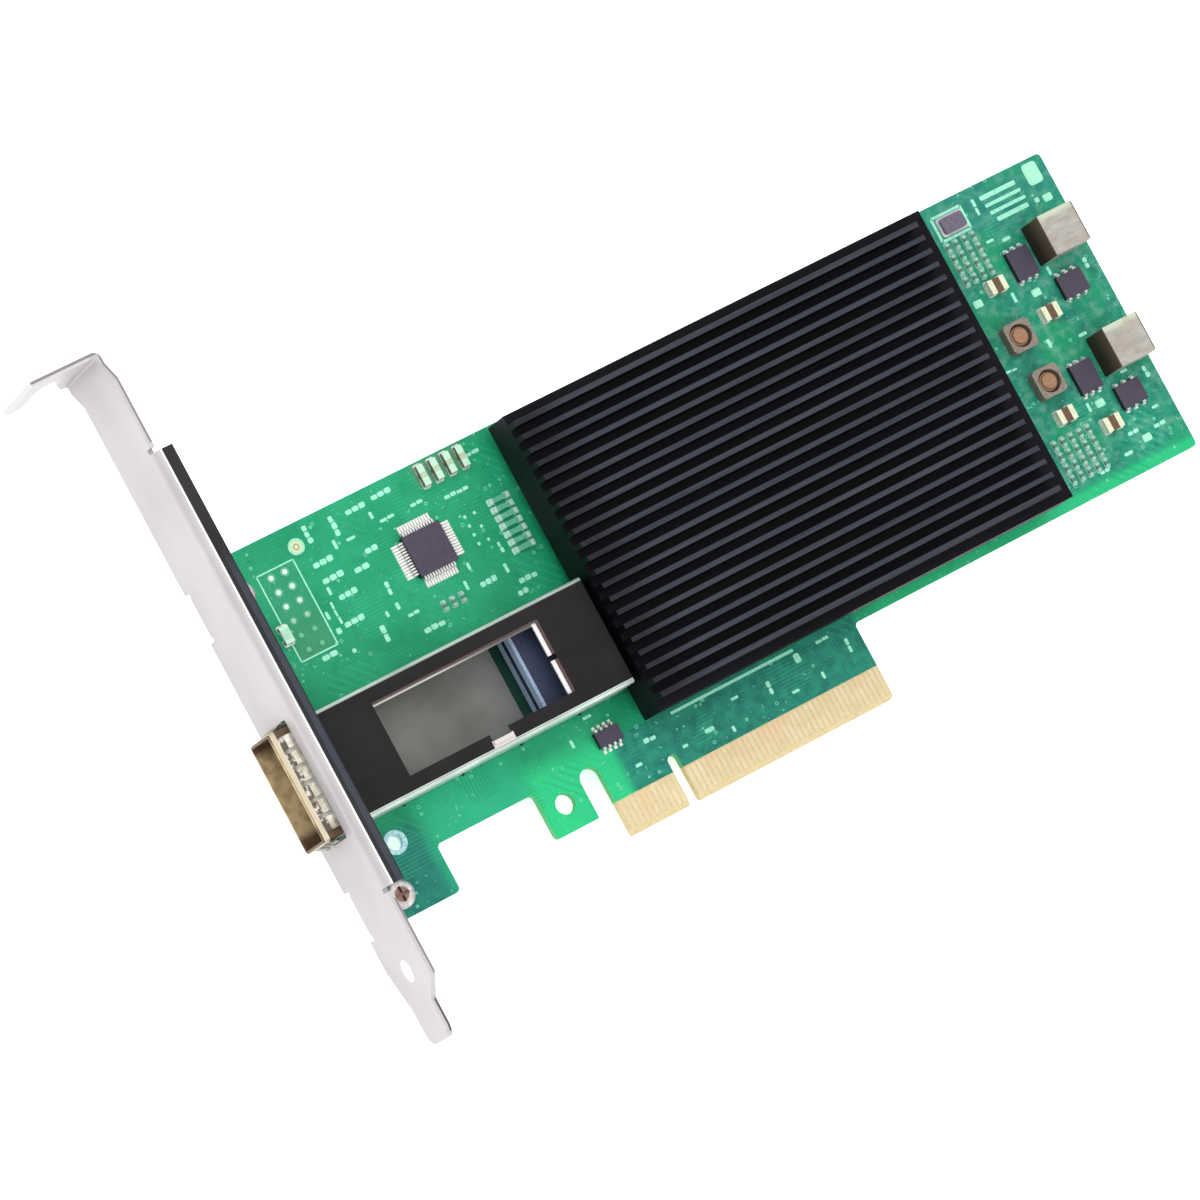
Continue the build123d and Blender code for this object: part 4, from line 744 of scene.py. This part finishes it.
def blank_plate(width, length, corner):
    """A flat face at the origin with cut corners, left in edit mode and selected."""
    deselect()
    bpy.ops.mesh.primitive_plane_add(size=1, location=(0, 0, 0))
    piece = bpy.context.object
    piece.scale = (width, length, 1)
    apply_place()
    edit(piece)
    bpy.ops.mesh.bevel(offset=corner, offset_type="OFFSET", affect="VERTICES", segments=2)
    return piece


def blank_disc(radius, sides, place=(0, 0, 0)):
    """A flat round face, left in edit mode and selected."""
    deselect()
    bpy.ops.mesh.primitive_circle_add(
        vertices=sides, radius=radius, fill_type="NGON", location=place)
    piece = bpy.context.object
    apply_place()
    edit(piece)
    return piece


def rise(height, shrink=1.0):
    """Extrudes the selected face upwards, and draws its outline in."""
    bpy.ops.mesh.extrude_region_move(TRANSFORM_OT_translate={"value": (0, 0, height)})
    if shrink != 1.0:
        bpy.ops.transform.resize(value=(shrink, shrink, 1))


def ink_bar(width, length):
    """A printed bar, a raised face of ink."""
    piece = blank_plate(width, length, min(width, length) * INK_CORNER)
    rise(INK_HEIGHT)
    object_mode()
    return piece


def solder_pad(width, length):
    """A tinned pad with the small slope of solder on it."""
    smaller = min(width, length)
    piece = blank_plate(width, length, smaller * PAD_CORNER)
    rise(PAD_HEIGHT)
    bpy.ops.mesh.inset(thickness=smaller * SOLDER_INSET)
    rise(SOLDER_RISE, SOLDER_DRAFT)
    object_mode()
    return piece


def copies(model, spots, back=False):
    """Copies of one modelled piece, each with its own mesh, at spots given as X and Y: on the
    board's component side, or turned over onto its back."""
    turn = Matrix.Rotation(math.pi, 4, "X") if back else Matrix.Identity(4)
    face = BACK_FACE if back else FRONT_FACE
    made = []
    for x, y in spots:
        twin = model.copy()
        twin.data = model.data.copy()
        twin.data.transform(Matrix.Translation((x, y, face)) @ turn)
        bpy.context.collection.objects.link(twin)
        made.append(twin)
    bpy.data.objects.remove(model)
    return made


def finished(pieces, name, finish):
    """Joins pieces into one, with its place in its mesh, and lets it ride with the card."""
    deselect()
    for piece in pieces:
        piece.select_set(True)
    bpy.context.view_layer.objects.active = pieces[0]
    if len(pieces) > 1:
        bpy.ops.object.join()
    whole = bpy.context.view_layer.objects.active
    apply_place()
    edit(whole)
    bpy.ops.mesh.normals_make_consistent(inside=False)
    object_mode()
    whole.name = name
    whole.data.name = name
    whole.data.materials.clear()
    whole.data.materials.append(FINISHES[finish])
    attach(whole, "root")


def solid_boxes(node):
    """Lowest and highest corner of each separate solid of a node, from a merged copy."""
    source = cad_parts[node]
    twin = source.copy()
    twin.data = source.data.copy()
    bpy.context.collection.objects.link(twin)
    edit(twin)
    bpy.ops.mesh.remove_doubles(threshold=WELD)
    bpy.ops.mesh.separate(type="LOOSE")
    object_mode()
    boxes = []
    for part in list(bpy.context.selected_objects):
        points = [part.matrix_world @ vertex.co for vertex in part.data.vertices]
        low = Vector([min(point[axis] for point in points) for axis in range(3)])
        high = Vector([max(point[axis] for point in points) for axis in range(3)])
        boxes.append((low, high))
        bpy.data.objects.remove(part)
    return sorted(boxes, key=lambda corners: tuple(corners[0]))


# Printed marks: centre X, centre Y, width and length in millimetres

PORT_FIELD_MARKS = (
    (22.0, 61.2, 3.8, 0.9), (22.3, 58.3, 4.0, 0.9), (27.3, 57.6, 2.8, 0.9),
    (30.2, 59.6, 2.4, 0.9), (23.2, 54.9, 3.5, 0.9), (22.0, 50.6, 3.8, 0.9),
    (18.9, 50.2, 0.9, 0.9), (15.6, 47.4, 3.0, 0.8), (25.5, 46.6, 0.8, 3.0),
    (33.5, 44.0, 4.0, 0.8), (45.2, 46.6, 3.2, 0.9), (51.5, 44.3, 3.5, 0.8),
    (49.6, 42.6, 2.0, 0.8), (21.8, 66.2, 0.8, 3.2), (26.5, 65.5, 0.8, 3.6),
    (31.0, 66.5, 3.8, 0.8), (36.0, 66.8, 3.8, 0.8), (47.5, 61.6, 4.6, 0.6),
    (53.0, 66.2, 3.0, 0.6), (46.8, 57.4, 0.5, 0.5), (46.8, 55.8, 0.5, 0.5),
    (46.8, 54.2, 0.5, 0.5), (46.8, 52.6, 0.5, 0.5), (48.6, 57.4, 0.5, 0.5),
    (48.6, 55.0, 0.5, 0.5), (48.6, 52.6, 0.5, 0.5), (49.8, 50.6, 0.5, 2.0),
    (20.6, 56.6, 0.5, 1.4), (29.6, 52.8, 0.6, 2.4), (29.6, 49.6, 0.6, 1.2),
    (25.2, 62.8, 0.6, 1.6), (28.0, 62.6, 1.6, 0.5), (18.4, 53.2, 0.5, 1.4),
    (31.4, 47.4, 2.2, 0.5), (41.5, 47.6, 0.5, 1.6), (43.4, 50.2, 0.5, 1.2),
    (35.0, 62.9, 2.8, 0.5), (40.6, 62.9, 2.4, 0.5), (49.0, 47.2, 0.6, 1.6),
    (32.8, 64.4, 0.5, 1.2), (27.4, 49.2, 0.5, 1.0), (19.6, 46.4, 0.7, 0.7),
    (19.9, 53.0, 0.4, 4.0),
)
TONGUE_MARKS = (
    (56.7, 12.4, 2.4, 0.7), (66.6, 9.3, 1.8, 0.7), (79.3, 10.8, 0.7, 2.4),
    (86.0, 13.0, 1.2, 1.6), (95.0, 11.0, 0.6, 2.6), (91.3, 13.8, 2.6, 0.5),
    (73.0, 12.0, 1.4, 0.5), (74.0, 14.5, 24.0, 0.5), (61.6, 8.8, 1.0, 0.5),
    (70.4, 7.6, 0.5, 1.0), (83.0, 8.4, 1.4, 0.5), (88.6, 8.6, 0.5, 1.2),
    (53.0, 9.6, 1.2, 0.6), (49.0, 20.2, 1.6, 0.5), (44.6, 17.4, 0.5, 1.4),
)
POWER_FIELD_MARKS = (
    (157.6, 66.3, 7.2, 0.8), (157.9, 64.8, 7.2, 0.6), (158.1, 63.4, 7.2, 0.6),
    (158.3, 62.0, 6.4, 0.8), (163.2, 62.0, 0.9, 0.9), (152.6, 65.4, 0.5, 3.0),
    (152.0, 59.4, 1.4, 0.5), (151.0, 49.2, 0.6, 1.8), (159.0, 50.6, 0.6, 1.6),
    (165.6, 49.0, 0.7, 2.0), (152.6, 39.8, 0.6, 1.6), (158.8, 38.6, 1.6, 0.5),
    (165.8, 28.4, 0.7, 2.2), (158.4, 20.4, 2.2, 0.6), (163.4, 19.6, 2.4, 0.6),
    (142.2, 30.8, 0.6, 2.0), (141.6, 48.8, 0.6, 1.6), (155.8, 17.6, 1.6, 0.5),
    (160.6, 58.8, 0.5, 0.5), (150.4, 16.8, 2.0, 0.5), (142.0, 54.0, 1.2, 0.5),
    (139.6, 58.4, 0.5, 1.4), (141.0, 62.4, 1.8, 0.5), (138.4, 52.0, 0.8, 0.5),
    (143.6, 38.6, 3.4, 0.4), (139.4, 36.0, 0.5, 1.4), (139.0, 27.4, 1.4, 0.5),
    (140.4, 22.6, 0.6, 1.2), (153.4, 27.4, 0.5, 1.6), (162.2, 30.2, 1.4, 0.5),
    (154.8, 58.4, 1.6, 0.5), (164.2, 22.6, 1.2, 0.5),
)
HEADER_FRAME = (14.3, 56.1, 6.8, 15.2, 0.26)     # as a mark, then its line's width
CRYSTAL_MARGIN = 0.4
CRYSTAL_LINE = 0.5
DASH = 1.1
DASH_GAP = 0.14
DASH_LEAN = 0.1
DASH_SWELL = 1.04         # of a dash's width against its mark's
LONGEST_DASHED = 5.0


def outline_bars(x, y, width, length, line):
    """The four printed lines of a frame round a part."""
    half_x, half_y = width / 2, length / 2
    return [(x - half_x, y, line, length), (x + half_x, y, line, length),
            (x, y - half_y, width, line), (x, y + half_y, width, line)]


def dashes(x, y, width, length):
    """A mark broken into short plain dashes along its longer side, like print seen from afar.
    Three small leans by turns keep them from lying dead straight. A very long mark is a line."""
    run = max(width, length)
    if run > LONGEST_DASHED:
        return [(x, y, width, length)]
    count = max(1, round(run / (DASH + DASH_GAP)))
    step = run / count
    size = step - DASH_GAP if count > 1 else run
    made = []
    for i in range(count):
        shift = (i - (count - 1) / 2) * step
        lean = DASH_LEAN * ((i * 7 + int(x * 3)) % 3 - 1)
        swell = DASH_SWELL + lean
        if width >= length:
            made.append((x + shift, y + lean / 2, size, length * swell))
        else:
            made.append((x + lean / 2, y + shift, width * swell, size))
    return made


def printed_marks():
    """All printed dashes, with the frames round the header and the crystal."""
    marks = PORT_FIELD_MARKS + TONGUE_MARKS + POWER_FIELD_MARKS
    bars = [dash for mark in marks for dash in dashes(*mark)]
    bars += outline_bars(*HEADER_FRAME)
    low, high = (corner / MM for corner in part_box("clock_crystal_base"))
    middle, size = (low + high) / 2, high - low
    bars += outline_bars(middle.x, middle.y, size.x + 2 * CRYSTAL_MARGIN,
                         size.y + 2 * CRYSTAL_MARGIN, CRYSTAL_LINE)
    pieces = []
    for x, y, width, length in bars:
        pieces += copies(ink_bar(width * MM, length * MM), [(x * MM, y * MM)])
    finished(pieces, "printed_marks", "ink")


# Solder, pads and the chip's dimple

ROUND_SIDES = 16
PLUG_RADIUS = 0.5 * MM
PLUG_HEIGHT = 0.05 * MM
PLUG_RIM = 0.12 * MM
PLUG_CROWN = 0.03 * MM
PLUG_DRAFT = 0.8
PLUGGED_ABOVE = 30.0 * MM            # the foot's ring, below this Y, stays open
CORNER_PATCH = (2.8 * MM, 3.8 * MM)
CORNER_PATCH_SPOT = (164.8 * MM, 66.3 * MM)
SMALL_PATCH = (1.7 * MM, 1.3 * MM)
SMALL_PATCH_SPOTS = ((165.2, 61.6), (160.2, 18.6), (155.0, 48.3), (144.6, 50.9), (155.6, 27.2))
END_PAD_LONGER = 0.7 * MM
END_PAD_WIDER = 0.3 * MM
LEAD_PAD_WIDER = 0.12 * MM
LEAD_PAD_REACH = 0.3                 # share of the lead's length, from its tip to the pad's middle
CONE_RADIUS = 0.95 * MM
CONE_STEPS = ((0.08 * MM, 1.0), (0.35 * MM, 0.62), (0.3 * MM, 0.7))
CAGE_PINS = 5                        # on each side of the cage
CAGE_PIN_INSET = 7.0 * MM
CAGE_WALL_MIDDLE = 0.2 * MM
DIMPLE_RADIUS = 0.4 * MM
DIMPLE_SIDES = 24
DIMPLE_INSET = 1.0 * MM               # of its middle from the chip's corner
DIMPLE_RISE = 0.03 * MM
DIMPLE_RIM = DIMPLE_RADIUS / 4
DIMPLE_DEPTH = 0.02 * MM
DIMPLE_DRAFT = 0.9


def ring_plugs():
    """Solder that fills the holes of the header's rings and of the top ring."""
    plug = blank_disc(PLUG_RADIUS, ROUND_SIDES)
    rise(PLUG_HEIGHT)
    bpy.ops.mesh.inset(thickness=PLUG_RIM)
    rise(PLUG_CROWN, PLUG_DRAFT)
    object_mode()
    middles = [(low + high) / 2 for low, high in solid_boxes("plated_rings")]
    spots = [(middle.x, middle.y) for middle in middles if middle.y > PLUGGED_ABOVE]
    finished(copies(plug, spots), "ring_plugs", "plug")


def bare_patches():
    """Bare tinned patches: one large at the board's far corner, small ones by the power parts."""
    pieces = copies(solder_pad(*CORNER_PATCH), [CORNER_PATCH_SPOT])
    pieces += copies(solder_pad(*SMALL_PATCH), [(x * MM, y * MM) for x, y in SMALL_PATCH_SPOTS])
    finished(pieces, "bare_patches", "corner_patch")


def end_pads(node, along, back=False):
    """Tinned pads under the metal ends of chip parts; along is the axis that their ends lie on."""
    boxes = solid_boxes(node)
    size = boxes[0][1] - boxes[0][0]
    size[along] += END_PAD_LONGER
    size[1 - along] += END_PAD_WIDER
    pad = solder_pad(size.x, size.y)
    return copies(pad, [tuple((low + high).xy / 2) for low, high in boxes], back)


def lead_pads(node):
    """Tinned pads under the feet of a chip's leads, first of those that lie along Y."""
    boxes = solid_boxes(node)
    centre = sum((low + high for low, high in boxes), Vector((0, 0, 0))) / len(boxes) / 2
    pieces = []
    for along in (1, 0):
        row = [(low, high) for low, high in boxes
               if ((high - low).x > (high - low).y) == (along == 0)]
        if not row:
            continue
        size = row[0][1] - row[0][0]
        reach = size[along] * LEAD_PAD_REACH
        size[1 - along] += LEAD_PAD_WIDER
        pad = solder_pad(size.x, size.y)
        spots = []
        for low, high in row:
            spot = (low + high).xy / 2
            outward = low[along] > centre[along]
            spot[along] = high[along] - reach if outward else low[along] + reach
            spots.append(tuple(spot))
        pieces += copies(pad, spots)
    return pieces


def solder_cones():
    """Small cones of solder round the cage pins on the solder side."""
    low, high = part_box("port_cage")
    cone = blank_disc(CONE_RADIUS, ROUND_SIDES)
    for height, shrink in CONE_STEPS:
        rise(height, shrink)
    object_mode()
    first = low.x + CAGE_PIN_INSET
    step = (high.x - CAGE_PIN_INSET - first) / (CAGE_PINS - 1)
    sides = (low.y + CAGE_WALL_MIDDLE, high.y - CAGE_WALL_MIDDLE)
    spots = [(first + i * step, y) for i in range(CAGE_PINS) for y in sides]
    return copies(cone, spots, back=True)


def pin_one_dimple():
    """The round moulded dimple beside the microcontroller's first lead."""
    low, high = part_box("microcontroller")
    dimple = blank_disc(DIMPLE_RADIUS, DIMPLE_SIDES,
                        (low.x + DIMPLE_INSET, low.y + DIMPLE_INSET, high.z))
    rise(DIMPLE_RISE)
    bpy.ops.mesh.inset(thickness=DIMPLE_RIM)
    rise(-DIMPLE_DEPTH, DIMPLE_DRAFT)
    object_mode()
    return dimple


printed_marks()
ring_plugs()
bare_patches()
finished(end_pads("row_capacitor_ends", 1) + end_pads("status_lamp_ends", 1)
         + end_pads("supply_capacitor_ends", 0), "chip_part_pads", "solder")
finished(end_pads("bypass_capacitor_ends", 1), "bypass_pads", "small_ends")
finished(end_pads("resistor_ends", 0), "resistor_pads", "resistor_ends")
finished(end_pads("back_capacitor_ends", 0, back=True), "back_part_pads", "solder")
finished(lead_pads("microcontroller_leads") + lead_pads("regulator_leads")
         + lead_pads("power_switch_leads"), "lead_pads", "leads")
finished(solder_cones(), "cage_pin_solder", "solder")
finished([pin_one_dimple()], "chip_dimple", "chip")


# Floor, light and camera

FLOOR_SIZE = 6.0
FLOOR_THICKNESS = 0.02
LAMP_AIM = (0.08, 0.04, 0.0)
LAMPS = (     # name, place, side of its square, power in watts
    ("key", (-0.4, 0.9, 1.3), 1.2, 7),
    ("fill", (0.5, -1.0, 1.1), 1.2, 6),
    ("top", (0.1, 0.1, 1.8), 1.8, 8),
)
ROOM_LIGHT = 0.75
SENSOR_WIDTH = 36.0
FOCAL_LENGTH = 209.7
NEAREST_SEEN = 0.01
CAMERA_PLACE = (-0.3585, -0.0217, 1.0358)
CAMERA_AXES = (     # the picture's way right, its way up, and the way back from the card
    (0.82562, -0.47294, 0.30774),
    (0.42202, 0.87959, 0.21960),
    (-0.37454, -0.05142, 0.92579),
)


def studio():
    """A pale floor under the card, three soft lamps and an evenly lit room."""
    deselect()
    bpy.ops.mesh.primitive_plane_add(size=FLOOR_SIZE, location=(0, 0, solid_box[0][2]))
    floor = bpy.context.object
    apply_place()
    edit(floor)
    rise(-FLOOR_THICKNESS)
    bpy.ops.mesh.select_all(action="SELECT")
    bpy.ops.mesh.normals_make_consistent(inside=False)
    object_mode()
    floor.name = "floor"
    floor.data.materials.append(floor_finish())
    for name, place, side, power in LAMPS:
        lamp = bpy.data.lights.new(name, "AREA")
        lamp.size = side
        lamp.energy = power
        holder = bpy.data.objects.new(name, lamp)
        holder.location = place
        aim = Vector(LAMP_AIM) - Vector(place)
        holder.rotation_euler = aim.to_track_quat("-Z", "Y").to_euler()
        bpy.context.collection.objects.link(holder)
    room = bpy.data.worlds.new("soft_room")
    room.use_nodes = True
    backdrop = room.node_tree.nodes["Background"]
    backdrop.inputs["Color"].default_value = (1, 1, 1, 1)
    backdrop.inputs["Strength"].default_value = ROOM_LIGHT
    bpy.context.scene.world = room
    bpy.context.scene.view_settings.view_transform = "Standard"


def camera():
    """The photograph's camera, fitted to the card's standard sizes."""
    lens = bpy.data.cameras.new("camera")
    lens.sensor_width = SENSOR_WIDTH
    lens.lens = FOCAL_LENGTH
    lens.clip_start = NEAREST_SEEN
    holder = bpy.data.objects.new("camera", lens)
    turn = Matrix(CAMERA_AXES).transposed().to_4x4()
    holder.matrix_world = Matrix.Translation(CAMERA_PLACE) @ turn
    bpy.context.collection.objects.link(holder)
    bpy.context.scene.camera = holder


studio()
camera()
